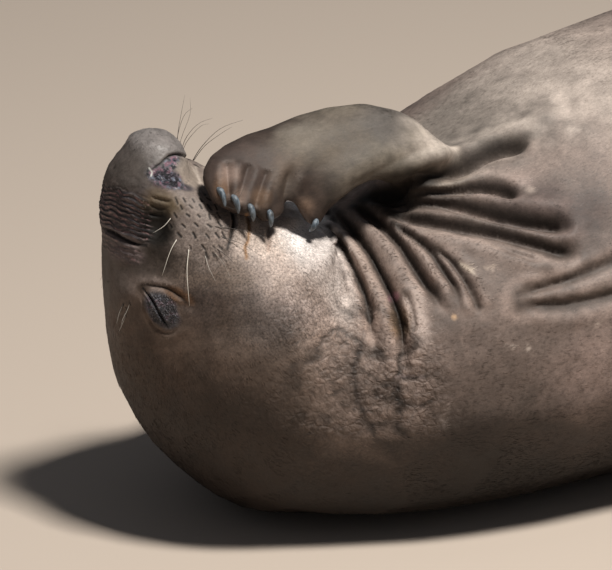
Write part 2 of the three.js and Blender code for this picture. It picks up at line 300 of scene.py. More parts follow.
def groove(points, lines, width, ends=(0.15, 0.15)):
    """How far each point is in the valley of some lines, and how far on their lips, 0 to 1."""
    valley, lip = np.zeros(len(points)), np.zeros(len(points))
    for line in lines:
        distance, along = reach(points, line, 6 * width)
        fade = step(along, -0.001, ends[0]) * step(1 - along, -0.001, ends[1])
        valley = np.maximum(valley, fade * np.exp(-np.minimum(distance / width, 9.0) ** 1.5))
        lip = np.maximum(lip, fade * bell(distance - 2.3 * width, 1.4 * width))
    return valley, lip


def carved(hide, folds, ends):
    """Height of a table of folds, in which no two add up where they meet."""
    deep, raised, shut = (np.zeros(len(hide.co)) for _ in range(3))
    for pixels, depth, width, lip, mirrored in folds:
        close = ends if mirrored else (ends[0], ends[1] / 2)
        valley, edge = groove(hide.co, hide.places(pixels, mirrored), width * MM, close)
        if depth < 0:
            raised = np.maximum(raised, -depth * MM * valley)
            continue
        deep = np.maximum(deep, depth * MM * valley)
        raised = np.maximum(raised, lip * MM * edge)
        shut = np.maximum(shut, valley)
    return raised * (1 - shut) - deep


def on_line(points, line, side):
    """Share along a line of points, the direction there, and the turn round it."""
    line = np.array(line)
    steps = np.diff(line, axis=0)
    lengths = np.linalg.norm(steps, axis=1)
    tangents = steps / lengths[:, None]
    middles = (line[1:] + line[:-1]) / 2
    starts = np.cumsum(lengths) - lengths / 2
    best = np.empty(len(points), int)
    for part in np.array_split(np.arange(len(points)), len(points) // POINTS_AT_ONCE + 1):
        best[part] = np.linalg.norm(points[part, None] - middles[None], axis=2).argmin(1)
    rel = points - middles[best]
    tangent = tangents[best]
    across = np.array(side) - tangent * (tangent @ np.array(side))[:, None]
    across /= np.linalg.norm(across, axis=1)[:, None]
    over = np.cross(tangent, across)
    along = (starts[best] + (rel * tangent).sum(1)) / lengths.sum()
    turn = np.arctan2((rel * across).sum(1), (rel * over).sum(1))
    return np.clip(along, 0, 1), tangent, turn


def trunk_line():
    """Points along the trunk's middle, in metres."""
    return [np.array(p) * MM - np.array(ROW_SHIFT) for p in smooth_path(TRUNK_LINE, 5)]


def claw_names(side):
    return [f"claw_{side}_{i}" for i in range(1, 6)]


def node_points(*names):
    """Corners of some CAD solids."""
    out = []
    for name in names:
        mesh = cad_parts[name].data
        co = np.empty(len(mesh.vertices) * 3, np.float32)
        mesh.vertices.foreach_get("co", co)
        out.append(co.reshape(-1, 3).astype(float))
    return np.concatenate(out)


def limb_line(limb):
    """A short line from a limb's root to its tip, and the direction across it."""
    if limb.startswith("hind"):
        points = node_points(*LIMBS[limb])
        x = points[:, 0]
        cuts = np.linspace(x.min(), x.max(), 6)
        slices = [points[(x >= a) & (x <= b)].mean(0) for a, b in zip(cuts, cuts[1:])]
        slices = [s if np.isfinite(s).all() else points.mean(0) for s in slices]
        return slices, (0.0, 1.0, 0.0)
    side = limb.split("_")[1]
    arm, hand = node_points(f"arm_{side}"), node_points(f"hand_{side}")
    claws = np.array([node_points(name).mean(0) for name in claw_names(side)])
    wrist = (arm.mean(0) + hand.mean(0)) / 2
    root = 2 * arm.mean(0) - wrist
    across = claws[-1] - claws[0]
    return [root, arm.mean(0), wrist, hand.mean(0), claws.mean(0)], across / np.linalg.norm(across)


class Hide:
    """A mesh as arrays, with the means to find places on it."""

    def __init__(self, mesh):
        self.mesh = mesh
        self.read()

    def read(self):
        mesh = self.mesh
        mesh.update()
        count = len(mesh.vertices)
        self.co = np.empty((count, 3))
        mesh.vertices.foreach_get("co", self.co.ravel())
        self.normal = np.empty(count * 3, np.float32)
        mesh.vertex_normals.foreach_get("vector", self.normal)
        self.normal = self.normal.reshape(-1, 3).astype(float)
        self.edges = np.empty(len(mesh.edges) * 2, np.int32)
        mesh.edges.foreach_get("vertices", self.edges)
        self.edges = self.edges.reshape(-1, 2)
        polygons = [tuple(p.vertices) for p in mesh.polygons]
        self.tree = BVHTree.FromPolygons([Vector(p) for p in self.co], polygons)

    def write(self):
        self.mesh.vertices.foreach_set("co", self.co.astype(np.float32).ravel())
        self.read()

    def raise_by(self, height):
        self.co += self.normal * height[:, None]
        self.co[:, 2] = np.maximum(self.co[:, 2], 0)
        self.write()

    def seen(self, pixels, steps=6):
        """Points of the surface along a path of pixels."""
        hits = []
        for px, py in smooth_path(pixels, steps):
            hit = self.tree.ray_cast(EYE_POINT, sight(px, py))[0]
            if hit:
                hits.append(hit)
        return np.array(hits)

    def at(self, pixel):
        """The surface's point at one pixel."""
        return self.seen((pixel, pixel), 1)[0]

    def nearest(self, points):
        return np.array([self.tree.find_nearest(Vector(p))[0] for p in points])

    def places(self, pixels, mirrored, steps=6):
        """The seen path, and if it is mirrored the one on the other side too, both on the trunk."""
        if not mirrored:
            line = self.seen(pixels, steps)
            return [line] if len(line) > 1 else []
        line = []
        for px, py in smooth_path(pixels, steps):
            hit = self.tree.ray_cast(EYE_POINT, sight(px, py))[0]
            if hit and trunk_tree().find_nearest(hit)[3] > COVER:
                under = trunk_tree().ray_cast(EYE_POINT, sight(px, py))[0]
                hit = self.tree.find_nearest(under)[0] if under else None
            if hit:
                line.append(hit)
        if len(line) < 2:
            return []
        line = np.array(line)
        return [line, self.nearest(other_side(line))]

    def spacing(self):
        """Mean length of the edges at each vertex."""
        i, j = self.edges.T
        count = len(self.co)
        length = np.linalg.norm(self.co[i] - self.co[j], axis=1)
        total = np.bincount(i, length, count) + np.bincount(j, length, count)
        return total / (np.bincount(i, minlength=count) + np.bincount(j, minlength=count))

    def relax(self, weight, rounds, spring=0.0):
        """Evens the surface; a spring near 1 keeps its volume."""
        i, j = self.edges.T
        count = len(self.co)
        links = np.bincount(i, minlength=count) + np.bincount(j, minlength=count)
        for _ in range(rounds):
            for push in (weight, -spring * weight) if spring else (weight,):
                pull = np.empty_like(self.co)
                for k in range(3):
                    pull[:, k] = np.bincount(i, self.co[j, k], count) + np.bincount(j, self.co[i, k], count)
                self.co += push[:, None] * (pull / links[:, None] - self.co)
        self.write()

    def refine(self, mask):
        """Halves the edges inside a mask of vertices."""
        sheet = bmesh.new()
        sheet.from_mesh(self.mesh)
        sheet.verts.ensure_lookup_table()
        edges = [e for e in sheet.edges if mask[e.verts[0].index] and mask[e.verts[1].index]]
        bmesh.ops.subdivide_edges(sheet, edges=edges, cuts=1, smooth=0.0)
        wide = [f for f in sheet.faces if len(f.verts) > 3]
        bmesh.ops.triangulate(sheet, faces=wide)
        sheet.to_mesh(self.mesh)
        sheet.free()
        self.read()
        self.relax(np.full(len(self.co), 0.4), 2, 1.02)

    def belonging(self):
        """How much each point belongs to each limb, from 0 to 1."""
        trunk = trunk_tree()
        shares = {}
        for limb, names in LIMBS.items():
            tree = solid_tree(names)
            low, high = node_points(*names).min(0), node_points(*names).max(0)
            inside = np.flatnonzero(np.all((self.co > low - 0.03) & (self.co < high + 0.03), axis=1))
            share = np.zeros(len(self.co))
            for index in inside:
                point = Vector(self.co[index])
                share[index] = trunk.find_nearest(point)[3] - tree.find_nearest(point)[3]
            share[inside] = step(share[inside], -0.008, 0.018)
            shares[limb] = share
        return shares


def joined_solids(names, growth):
    """The CAD solids as one loose mesh, each grown a little to overlap the next."""
    block = bmesh.new()
    for name in names:
        part = bmesh.new()
        part.from_mesh(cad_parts[name].data)
        bmesh.ops.remove_doubles(part, verts=part.verts, dist=1e-5)
        part.normal_update()
        for vert in part.verts:
            vert.co += vert.normal * growth
        grown = bpy.data.meshes.new("grown")
        part.to_mesh(grown)
        part.free()
        block.from_mesh(grown)
        bpy.data.meshes.remove(grown)
    mesh = bpy.data.meshes.new("block")
    block.to_mesh(mesh)
    block.free()
    return mesh


def solid_tree(names):
    mesh = joined_solids(names, 0.0)
    corners = [v.co.copy() for v in mesh.vertices]
    tree = BVHTree.FromPolygons(corners, [tuple(p.vertices) for p in mesh.polygons])
    bpy.data.meshes.remove(mesh)
    return tree


@functools.cache
def trunk_tree():
    return solid_tree(TRUNK)


def with_modifier(mesh, kind, **settings):
    """The mesh after one modifier, with vertex weights as a group named plain if given."""
    weights = settings.pop("weights", None)
    holder = bpy.data.objects.new("holder", mesh)
    bpy.context.scene.collection.objects.link(holder)
    if weights is not None:
        group = holder.vertex_groups.new(name="plain")
        for level in range(1, WEIGHT_LEVELS + 1):
            chosen = np.flatnonzero(np.round(weights * WEIGHT_LEVELS) == level)
            if len(chosen):
                group.add([int(v) for v in chosen], level / WEIGHT_LEVELS, "REPLACE")
    modifier = holder.modifiers.new(kind, kind)
    for key, value in settings.items():
        setattr(modifier, key, value)
    graph = bpy.context.evaluated_depsgraph_get()
    made = bpy.data.meshes.new_from_object(holder.evaluated_get(graph))
    bpy.data.objects.remove(holder)
    bpy.data.meshes.remove(mesh)
    return made


def add_piece(name, mesh, material):
    """A finished piece on the animal's one body."""
    piece = bpy.data.objects.new(name, mesh)
    bpy.context.scene.collection.objects.link(piece)
    mesh.materials.clear()
    mesh.materials.append(material)
    mesh.polygons.foreach_set("use_smooth", [True] * len(mesh.polygons))
    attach(piece, ROOT_BODY)
    return piece


def store(mesh, name, values):
    """Keeps a colour at each vertex."""
    layer = mesh.attributes.new(name, "FLOAT_COLOR", "POINT")
    rgba = np.ones((len(values), 4), np.float32)
    rgba[:, :values.shape[1]] = np.clip(values, 0, 1)
    layer.data.foreach_set("color", rgba.ravel())


def stored(mesh, name):
    """The three numbers kept at each vertex."""
    rgba = np.empty(len(mesh.vertices) * 4, np.float32)
    mesh.attributes[name].data.foreach_get("color", rgba)
    return rgba.reshape(-1, 4)[:, :3].astype(float)


# Paths that are both a fold and a dark line of painted shade, in pixels of the view
MOUTH_CREASE = ((205, 188), (217, 197), (227, 204), (233, 217), (233, 228), (227, 250))
NOSTRIL_SLIT = ((190, 160), (183, 155.5), (175, 154.5), (166.5, 158), (160, 164), (152, 169))
EYE_SLIT = ((143, 288), (151, 299), (156, 308), (163, 320), (168, 327))
LID_CREASE = ((142, 285), (156, 286), (168, 289), (180, 297), (188, 304))

# Folds, wrinkles and lids: pixels of the view, depth, width and lip in mm, on both sides or not
BIG_FOLDS = (
    (((320, 227), (332, 240), (338, 257), (343, 277), (347, 300)), 6, 3.2, 3, False),
    (((328, 226), (342, 246), (352, 265), (361, 285), (367, 303), (370, 323), (376, 350)), 12, 6, 5, True),
    (((333, 210), (350, 227), (368, 250), (382, 277), (392, 297), (400, 323), (403, 353), (406, 385)),
     18, 8, 6, True),
    (((355, 206), (380, 223), (397, 240), (410, 260), (423, 280), (433, 293), (448, 318)), 17, 8, 6, True),
    (((392, 222), (418, 240), (432, 253), (443, 270), (455, 288), (462, 310)), 11, 6.5, 5, True),
    (((432, 247), (447, 257), (460, 273), (470, 290), (481, 314)), 8, 5.5, 3, False),
    (((364, 200), (400, 190), (430, 180), (457, 169), (480, 156), (500, 149), (518, 145), (534, 143)),
     24, 12, 4, False),
    (((376, 203), (418, 196), (440, 192), (460, 189), (480, 187), (500, 190), (522, 199)), 18, 9, 5, False),
    (((382, 206), (415, 203), (451, 203), (496, 214), (538, 223), (578, 228)), 21, 11, 6, False),
    (((384, 211), (401, 215), (440, 222), (480, 229), (524, 240), (561, 251), (584, 257)), 18, 11, 6, False),
    (((412, 230), (470, 234), (520, 254), (548, 262)), 4, 7, 2, False),
    (((518, 294), (552, 285), (580, 276), (612, 262), (660, 238)), 8, 7, 3, False),
    (((520, 305), (560, 305), (590, 300), (612, 295), (660, 282)), 8, 8, 3, False),
    (((430, 158), (462, 152), (492, 139), (525, 125), (570, 108)), -9, 20, 0, False),
    (((405, 292), (412, 312), (414, 335)), 5, 4, 2, False),
)

FINE_FOLDS = (
    (MOUTH_CREASE, 6, 2.4, 1.6, True),
    (((227, 250), (222, 258), (212, 264)), 2.5, 3, 0.8, True),
    (((98, 226), (110, 231), (124, 239), (136, 244), (146, 245)), 4.5, 2.6, 1.8, True),
    (NOSTRIL_SLIT, 4, 1.7, 0.5, True),
    (((152, 171), (158, 180), (172, 184), (190, 192)), 1.5, 2.2, 1.2, True),
    (EYE_SLIT, 4, 1.5, 1.2, True),
    (LID_CREASE, 3, 2.6, 0.8, True),
    (((141, 292), (143, 306), (150, 321), (158, 330), (171, 333), (184, 322)), 1.4, 2, 0.8, True),
    (((268, 226), (269, 238), (268, 251)), 4, 3, 1.5, True),
    (((247, 215), (248, 235), (247, 257)), 1.6, 2.5, 0.6, True),
    (((150, 196), (160, 200), (172, 202)), 2.2, 2, 1, True),
    (((148, 204), (158, 208), (168, 209)), 2.2, 2, 1, True),
    (((147, 213), (156, 215), (165, 214)), 2, 2, 1, True),
    (((326, 203), (336, 195), (354, 185), (379, 172), (412, 154), (438, 143)), 3, 8, 0, False),
    (((379, 120), (387, 117), (396, 119)), 1.6, 1.8, 0.8, False),
    (((377, 113), (386, 110), (397, 112)), 1.6, 1.8, 0.8, False),
    (((420, 131), (428, 128), (433, 131)), 2, 2, 0.8, False),
    (((404, 118), (414, 117), (424, 123)), 1.6, 2, 0.8, False),
    (((228, 206), (229, 190), (227, 160)), 5, 5, 2, False),
    (((239, 210), (242, 192), (250, 162)), 5, 5, 2, False),
    (((256, 216), (258, 198), (268, 168)), 5, 5, 2, False),
    (((290, 210), (287, 194), (294, 162)), 7, 7, 3, False),
)

# Swellings and hollows: middle, half sizes and turn in the view, height in mm
SWELLINGS = (
    ((200, 224), (31, 36), 20, 8),
    ((214, 238), (16, 18), 20, 2),
    ((158, 226), (13, 19), 10, -9),
    ((150, 262), (22, 12), 10, -4),
    ((158, 308), (13, 21), -35, 5),
    ((201, 171), (9, 14), -20, -9),
    ((104, 212), (10, 20), 10, 3),
    ((190, 301), (12, 9), 30, -3),
    ((174, 149), (15, 7), -12, 3.5),
    ((132, 205), (18, 22), 25, 3),
    ((126, 256), (16, 8), 10, 3),
    ((128, 300), (14, 24), 0, 2),
    ((250, 218), (16, 18), 0, 3),
    ((284, 225), (12, 20), 0, 4),
    ((166, 176), (13, 9), 20, -2),
)

# Notches between the digits of the near hand: middle, half sizes in the view, height in mm
WEBS = (
    ((294, 214), (10, 9), 5),
    ((255, 214), (4.5, 7), 5),
    ((240, 207), (3.5, 6), 4),
    ((228, 199), (3.5, 6), 4),
)

# Markings of the hide, among them patches of painted shade and painted light: middle, half sizes, turn in
# the view, colour, strength, softness of the edge
PATCHES = (
    # Painted shade along the head's left edge
    ((104, 300), (12, 85), 0, (0.04, 0.033, 0.03), 1.0, 0.8),
    ((110, 320), (22, 90), 0, (0.17, 0.14, 0.122), 0.8, 0.5),
    ((185, 350), (80, 50), 20, (0.21, 0.14, 0.105), 0.9, 0.6),
    ((250, 390), (70, 40), 15, (0.085, 0.055, 0.04), 0.8, 0.7),
    ((132, 385), (30, 45), 0, (0.028, 0.018, 0.01), 0.7, 0.7),
    ((150, 350), (50, 50), 0, (0.12, 0.08, 0.057), 0.7, 0.6),
    ((255, 300), (65, 50), 20, (0.135, 0.11, 0.1), 0.9, 0.5),
    ((212, 300), (32, 36), 10, (0.06, 0.039, 0.03), 0.9, 0.7),
    # Pale throat, lightened further as painted light where the hand's shadow falls
    ((310, 238), (14, 20), 0, (0.85, 0.8, 0.76), 0.8, 0.6),
    ((300, 296), (32, 30), 0, (0.68, 0.56, 0.52), 0.8, 0.7),
    # Pale ridge between the first neck folds, lightened further as painted light
    ((336, 282), (14, 42), -15, (0.95, 0.88, 0.84), 1.0, 0.6),
    ((290, 250), (62, 48), 25, (0.4, 0.325, 0.285), 0.9, 0.45),
    ((265, 228), (45, 30), 0, (0.44, 0.36, 0.31), 0.9, 0.4),
    # Pale throat made brighter still as painted light against the hand's shadow
    ((312, 236), (24, 26), 0, (0.95, 0.93, 0.92), 0.9, 0.7),
    ((326, 258), (22, 34), -20, (0.7, 0.64, 0.61), 0.8, 0.5),
    ((205, 270), (55, 18), 10, (0.15, 0.11, 0.085), 0.7, 0.6),
    ((200, 224), (36, 40), 20, (0.205, 0.165, 0.145), 1.0, 0.35),
    ((215, 240), (18, 20), 20, (0.185, 0.145, 0.125), 0.6, 0.5),
    ((128, 214), (32, 40), 20, (0.15, 0.118, 0.114), 1.0, 0.3),
    ((165, 146), (40, 32), -10, (0.2, 0.18, 0.172), 1.0, 0.35),
    ((130, 172), (24, 22), 30, (0.10, 0.083, 0.073), 0.9, 0.5),
    ((192, 172), (16, 18), 20, (0.28, 0.23, 0.19), 0.8, 0.4),
    ((162, 205), (20, 15), 15, (0.13, 0.09, 0.045), 0.85, 0.4),
    # Painted shade in the hollow between the nose's side and the whisker pad
    ((157, 228), (17, 24), 10, (0.016, 0.011, 0.006), 1.0, 0.45),
    ((152, 262), (32, 16), 0, (0.06, 0.043, 0.032), 0.8, 0.5),
    ((126, 254), (18, 9), 10, (0.185, 0.142, 0.138), 0.9, 0.4),
    ((162, 310), (13.5, 23.5), -38, (0.095, 0.088, 0.095), 1.0, 0.16),
    ((180, 296), (16, 6), 27, (0.14, 0.065, 0.025), 0.85, 0.4),
    ((144, 287), (8, 6), 0, (0.06, 0.035, 0.02), 0.8, 0.5),
    ((172, 334), (14, 4), -25, (0.22, 0.17, 0.14), 0.4, 0.6),
    ((166, 178), (17, 10), 24, (0.075, 0.062, 0.083), 1.0, 0.3),
    ((171, 162), (8, 4), -35, (0.08, 0.09, 0.12), 0.9, 0.5),
    ((184, 187), (10, 3.5), 15, (0.035, 0.03, 0.045), 0.85, 0.5),
    ((300, 390), (110, 80), 20, (0.13, 0.092, 0.07), 0.7, 0.6),
    ((230, 440), (90, 60), 20, (0.046, 0.028, 0.018), 0.8, 0.6),
    ((350, 300), (70, 60), 30, (0.24, 0.18, 0.15), 0.6, 0.6),
    ((380, 400), (60, 70), 0, (0.18, 0.135, 0.115), 0.6, 0.6),
    ((490, 110), (110, 50), -20, (0.19, 0.167, 0.146), 0.85, 0.6),
    # Darker along the bottom edge by the floor, partly painted shade
    ((430, 490), (110, 46), 0, (0.025, 0.016, 0.01), 0.65, 0.95),
    ((272, 322), (26, 24), 20, (0.1, 0.08, 0.072), 0.6, 0.8),
    ((575, 80), (72, 50), 0, (0.4, 0.34, 0.3), 0.7, 0.7),
    # Painted shade below a chest fold
    ((555, 212), (60, 30), 10, (0.085, 0.06, 0.055), 0.8, 0.7),
    ((590, 372), (46, 42), 0, (0.33, 0.245, 0.215), 0.75, 0.8),
    # Painted highlight on the end of a neck fold's ridge
    ((419, 318), (9, 26), -12, (0.85, 0.7, 0.63), 0.85, 0.7),
    ((470, 330), (90, 70), 0, (0.17, 0.125, 0.105), 0.7, 0.6),
    # Painted shade on the chest under the forearm
    ((405, 192), (45, 11), -20, (0.05, 0.035, 0.024), 0.85, 0.6),
    ((530, 190), (5, 3), 0, (0.4, 0.33, 0.28), 0.5, 0.7),
    ((575, 130), (6, 3), 0, (0.5, 0.43, 0.38), 0.5, 0.7),
    ((467, 268), (9, 2.2), 35, (0.5, 0.42, 0.34), 0.8, 0.5),
    ((490, 268), (4, 2.5), 0, (0.5, 0.4, 0.33), 0.8, 0.5),
    ((454, 317), (3, 3), 0, (0.5, 0.33, 0.2), 0.8, 0.5),
    ((510, 347), (3, 2.5), 0, (0.45, 0.38, 0.33), 0.8, 0.5),
    ((528, 347), (3.5, 2.5), 0, (0.45, 0.38, 0.33), 0.8, 0.5),
    ((594, 325), (3, 2.5), 0, (0.45, 0.38, 0.33), 0.8, 0.5),
    ((393.5, 297), (5, 5), 30, (0.42, 0.2, 0.25), 0.9, 0.4),
    ((400, 322), (9, 14), -10, (0.12, 0.065, 0.02), 0.6, 0.6),
)

# Markings of the near arm, as PATCHES, with painted shade under the forearm
ARM_PATCHES = (
    ((345, 135), (60, 26), -10, (0.113, 0.092, 0.074), 0.8, 0.6),
    ((300, 138), (26, 13), -10, (0.24, 0.21, 0.175), 0.7, 0.6),
    ((390, 118), (26, 20), 0, (0.12, 0.105, 0.096), 0.7, 0.6),
    ((447, 135), (34, 44), 0, (0.4, 0.345, 0.3), 0.95, 0.8),
    # Painted shade under the forearm
    ((400, 184), (50, 13), -24, (0.045, 0.033, 0.02), 1.0, 0.6),
    ((300, 150), (50, 16), -12, (0.15, 0.12, 0.09), 0.6, 0.6),
    ((235, 165), (30, 30), 0, (0.085, 0.057, 0.047), 0.8, 0.6),
    ((262, 165), (26, 22), 0, (0.1, 0.068, 0.055), 0.7, 0.7),
    ((222, 188), (8, 12), 0, (0.26, 0.15, 0.09), 0.7, 0.6),
    ((230, 174), (10, 11), 10, (0.31, 0.225, 0.185), 0.65, 0.7),
    ((240, 196), (8, 8), 0, (0.27, 0.19, 0.15), 0.6, 0.6),
    ((262, 198), (9, 9), 0, (0.27, 0.17, 0.11), 0.6, 0.6),
    ((306, 206), (9, 9), 0, (0.2, 0.13, 0.09), 0.6, 0.6),
    ((285, 175), (14, 18), 10, (0.17, 0.13, 0.10), 0.5, 0.6),
)

# Thin marks, the near-black ones painted shade in slits and creases: pixels of the view, width in mm,
# colour, strength, on both sides or not
LINES = (
    (((247, 214), (249, 226), (248, 240), (245, 248), (247, 258)), 2.2, (0.26, 0.12, 0.03), 0.95, False),
    (((246, 222), (246, 214)), 1.4, (0.3, 0.15, 0.05), 0.6, False),
    (((192, 167), (202, 183.5), (215.5, 199)), 2.0, (0.5, 0.43, 0.37), 0.5, True),
    (((149, 168), (152, 172), (151, 176)), 1.0, (0.6, 0.6, 0.56), 0.9, False),
    # Painted shade in the slits of nostril, eye and mouth and in the creases round them
    (NOSTRIL_SLIT, 1.6, (0.012, 0.01, 0.01), 0.95, True),
    (EYE_SLIT, 1.3, (0.006, 0.005, 0.006), 1.0, True),
    (MOUTH_CREASE, 2.0, (0.012, 0.009, 0.008), 0.95, True),
    (((100, 227), (110, 231), (124, 239), (136, 244), (146, 245)), 2.2, (0.012, 0.009, 0.008), 0.9, True),
    (LID_CREASE, 2.4, (0.035, 0.018, 0.01), 0.8, True),
    (((268, 228), (269, 238), (268, 251)), 2.4, (0.2, 0.13, 0.1), 0.6, True),
    # Painted shade in creases of the neck's crumpled skin
    (((360, 368), (376, 379), (396, 385)), 2.2, (0.014, 0.01, 0.008), 0.5, True),
    (((369, 347), (378, 354), (388, 358)), 2.0, (0.018, 0.012, 0.009), 0.4, True),
    (((332, 329), (340, 337), (348, 345)), 2.0, (0.03, 0.02, 0.016), 0.6, True),
    (((361, 312), (363, 338), (357, 361)), 2.0, (0.03, 0.02, 0.016), 0.35, True),
    (((314, 367), (336, 385), (356, 393)), 2.2, (0.014, 0.01, 0.008), 0.4, True),
    (((340, 402), (362, 412), (380, 410)), 2.2, (0.012, 0.009, 0.007), 0.4, True),
    (((394, 389), (397, 405), (388, 424)), 2.2, (0.014, 0.01, 0.008), 0.4, True),
    (((318, 410), (334, 425), (352, 432)), 2.2, (0.01, 0.007, 0.005), 0.4, True),
    (((396, 377), (408, 375.5), (421, 376)), 1.7, (0.36, 0.28, 0.27), 0.6, False),
    (((422, 377), (421, 386), (416, 396)), 1.5, (0.36, 0.29, 0.27), 0.5, False),
    (((404, 427), (412, 416), (418, 402)), 1.6, (0.3, 0.24, 0.215), 0.6, False),
    (((436, 432), (444, 420), (448, 406)), 1.8, (0.34, 0.28, 0.25), 0.6, False),
    (((436, 400), (446, 397), (456, 397)), 1.7, (0.3, 0.24, 0.22), 0.5, False),
    (((462, 437), (474, 433), (484, 434)), 1.3, (0.24, 0.19, 0.17), 0.4, False),
    (((461, 337), (467, 350), (471, 366)), 1.7, (0.26, 0.19, 0.16), 0.5, False),
)

# Areas that get a finer mesh or a finish of their own, as ovals of the view: middle, half sizes, turn
MUZZLE = ((165, 205), (60, 70))
EYE_SOCKET = ((158, 307), (32, 34))
THROAT = ((262, 226), (50, 34))
FINGERS = ((255, 195), (75, 36), 10)
NOSTRIL = ((170, 172), (26, 20), 10)
LIDS = ((160, 308), (19, 29), -35)
RINGED_NOSE = ((127, 220), (28, 42), 15)
WHISKER_PAD = ((203, 222), (34, 40), 20)
NECK_BEND = ((360, 380), (75, 80), -20)
CRUMPLED_NECK = ((365, 385), (85, 95), -20)
CRACKED_NECK = ((350, 395), (105, 95), 10)
CRACKED_JAW = ((305, 330), (62, 60))
SPECKLED_JAW = ((265, 285), (110, 75), 20)
WET_NOSE = ((165, 140), (26, 18))
SCAR = ((168, 179), (22, 10), 24)
SCAR_TOP = ((171, 164), (10, 7), -35)
LEATHER_LIDS = ((162, 310), (13.5, 23.5), -38)
LEATHER_SCAR = ((166, 178), (15, 9), 22)
BARE_NOSTRIL = ((172, 165), (26, 18))
BARE_PAD = ((203, 222), (32, 40), 20)
FACE = ((185, 240), (110, 125))

# Places of the shoulder that are evened: pixel of the view, reach in metres, rounds
SHOULDER_EVENING = (
    ((446, 168), 0.055, 110), ((452, 150), 0.04, 60), ((440, 136), 0.04, 60), ((425, 120), 0.04, 60),
)

# Single places of the view
EYE_MIDDLE = (155, 304)
PAD_MIDDLE = (200, 222)

# The nose's rings: places across the view, with the rows of their top and of their base
RING_TOP = ((100, 118, 132, 145, 156), (184, 187, 193, 198, 203))
RING_BASE = ((100, 107, 118, 130, 143, 156), (224, 226, 233, 239, 244, 246))
RING_COUNT = 9
# The rings' count is kept over this in an attribute that only reaches 1
RING_SCALE = 20

# The body is plain, and its skin thinned, behind this x and under this height, each with the length
# over which it becomes so, and half as much beyond this line of the plan, which the view doesn't see
PLAIN_FROM, PLAIN_LENGTH = 0.42, 0.3
PLAIN_UNDER, PLAIN_DEPTH = 0.27, 0.1
UNSEEN_SLOPE, UNSEEN_FROM = 0.47, 0.42
# Share of the thinning that even the head gets
LEAST_THINNING = 0.06
# The trunk is evened from these x on, or under this height, and up to the tail
EVEN_FROM = (0.36, 0.6)
EVEN_UNDER, EVEN_DEPTH = 0.3, 0.12
TAIL_FROM, TAIL_LENGTH = 2.42, 0.1
LIMB_ROUNDS = 30
LAST_ROUNDS = 14
LAST_SPRING = 1.04
# A fold gets a finer mesh within this many of its widths, where the mesh is still coarser than this,
# and so does the crumpled skin of the neck
FOLD_SPAN = 1.7
FOLD_SPACING = 3.5 * MM
CRUMPLE_SPACING = 6 * MM
# Shares of a fold's length over which its two ends run out, for large folds and for fine ones
BIG_ENDS = (0.12, 0.24)
FINE_ENDS = (0.25, 0.25)

# Heights on the skin
RING_HEIGHT = 1.2 * MM
ROOT_DEPTH = 0.9 * MM
PORE_HEIGHT = 0.45 * MM
CRUMPLE_HEIGHT = 5.5 * MM
# Crumples rise and sink about this level of their pattern
CRUMPLE_LEVEL = 0.3

# A tuft of the coat: half its width, how much its lie varies, how deep it is rooted, and how far
# its root and its tip stay above the floor
TUFT_HALF_WIDTH = 0.8 * MM
TUFT_TURN = 0.22
TUFT_SINK = 0.25 * MM
TUFT_CLEAR = 4 * MM
TUFT_FLOOR = 0.3 * MM
# Its five corners, two at the root, two in the middle and the tip: how bright they are, and their
# places on its patch of the map, of which this is half the size
TUFT_TONES = (0.94, 0.94, 1.0, 1.0, 1.07)
TUFT_CORNERS = ((-1, -1), (1, -1), (-0.8, 0.1), (0.8, 0.1), (0, 1))
TUFT_PATCH = 0.0015

# Sides of a whisker, the eyeballs and the growth of the claws' solids before they are rounded
WHISKER_SIDES = 6
EYEBALL_RADIUS = 22 * MM
EYEBALL_DEPTH = 27 * MM
CLAW_GROWTH = 1.3 * MM

# Colours of small things; the SHADE ones are painted shade in the valleys of folds, rings, crumples and
# cracks
FOLD_SHADE = (0.027, 0.0175, 0.012)
ROOT_DARK = (0.012, 0.01, 0.009)
ROOT_RIM = (0.5, 0.42, 0.35)
GRIT_DARK = (0.02, 0.018, 0.028)
GRIT_PINK = (0.2, 0.11, 0.145)
GRIT_BLUE = (0.14, 0.155, 0.2)
GRIT_PALE = (0.3, 0.265, 0.275)
RING_SHADE = (0.01, 0.01, 0.015)
RING_PINK = (0.42, 0.24, 0.245)
CRACK_SHADE = (0.02, 0.013, 0.009)
LEATHER_SHADE = (0.008, 0.009, 0.013)
HORN_DARK = (0.045, 0.062, 0.08)
HORN_PALE = (0.2, 0.24, 0.28)
HORN_DIRT = (0.05, 0.045, 0.04)
EYE_DARK = (0.012, 0.009, 0.008)
EYE_BROWN = (0.045, 0.028, 0.02)
WHISKER_DARK = (0.02, 0.015, 0.012)
WHISKER_BROWN = (0.05, 0.038, 0.03)
WHISKER_PALE = (0.75, 0.7, 0.62)
# How much the hide and its coat mirror
HIDE_SHINE = 0.4

# Whisker roots on the pad: row height in the view, places across
FOLLICLES = (
    (200, (176, 185, 194, 201, 209)),
    (207.5, (181, 191, 200, 210, 216)),
    (216, (175, 188, 199, 210, 219)),
    (225, (171, 183, 197, 209, 220)),
    (236, (180, 194, 207, 217, 224)),
    (247, (190, 203, 213, 221)),
    (256, (206, 214)),
)
BROW_ROOTS = ((123, 304), (127, 309), (130, 303), (126, 315), (121, 310))

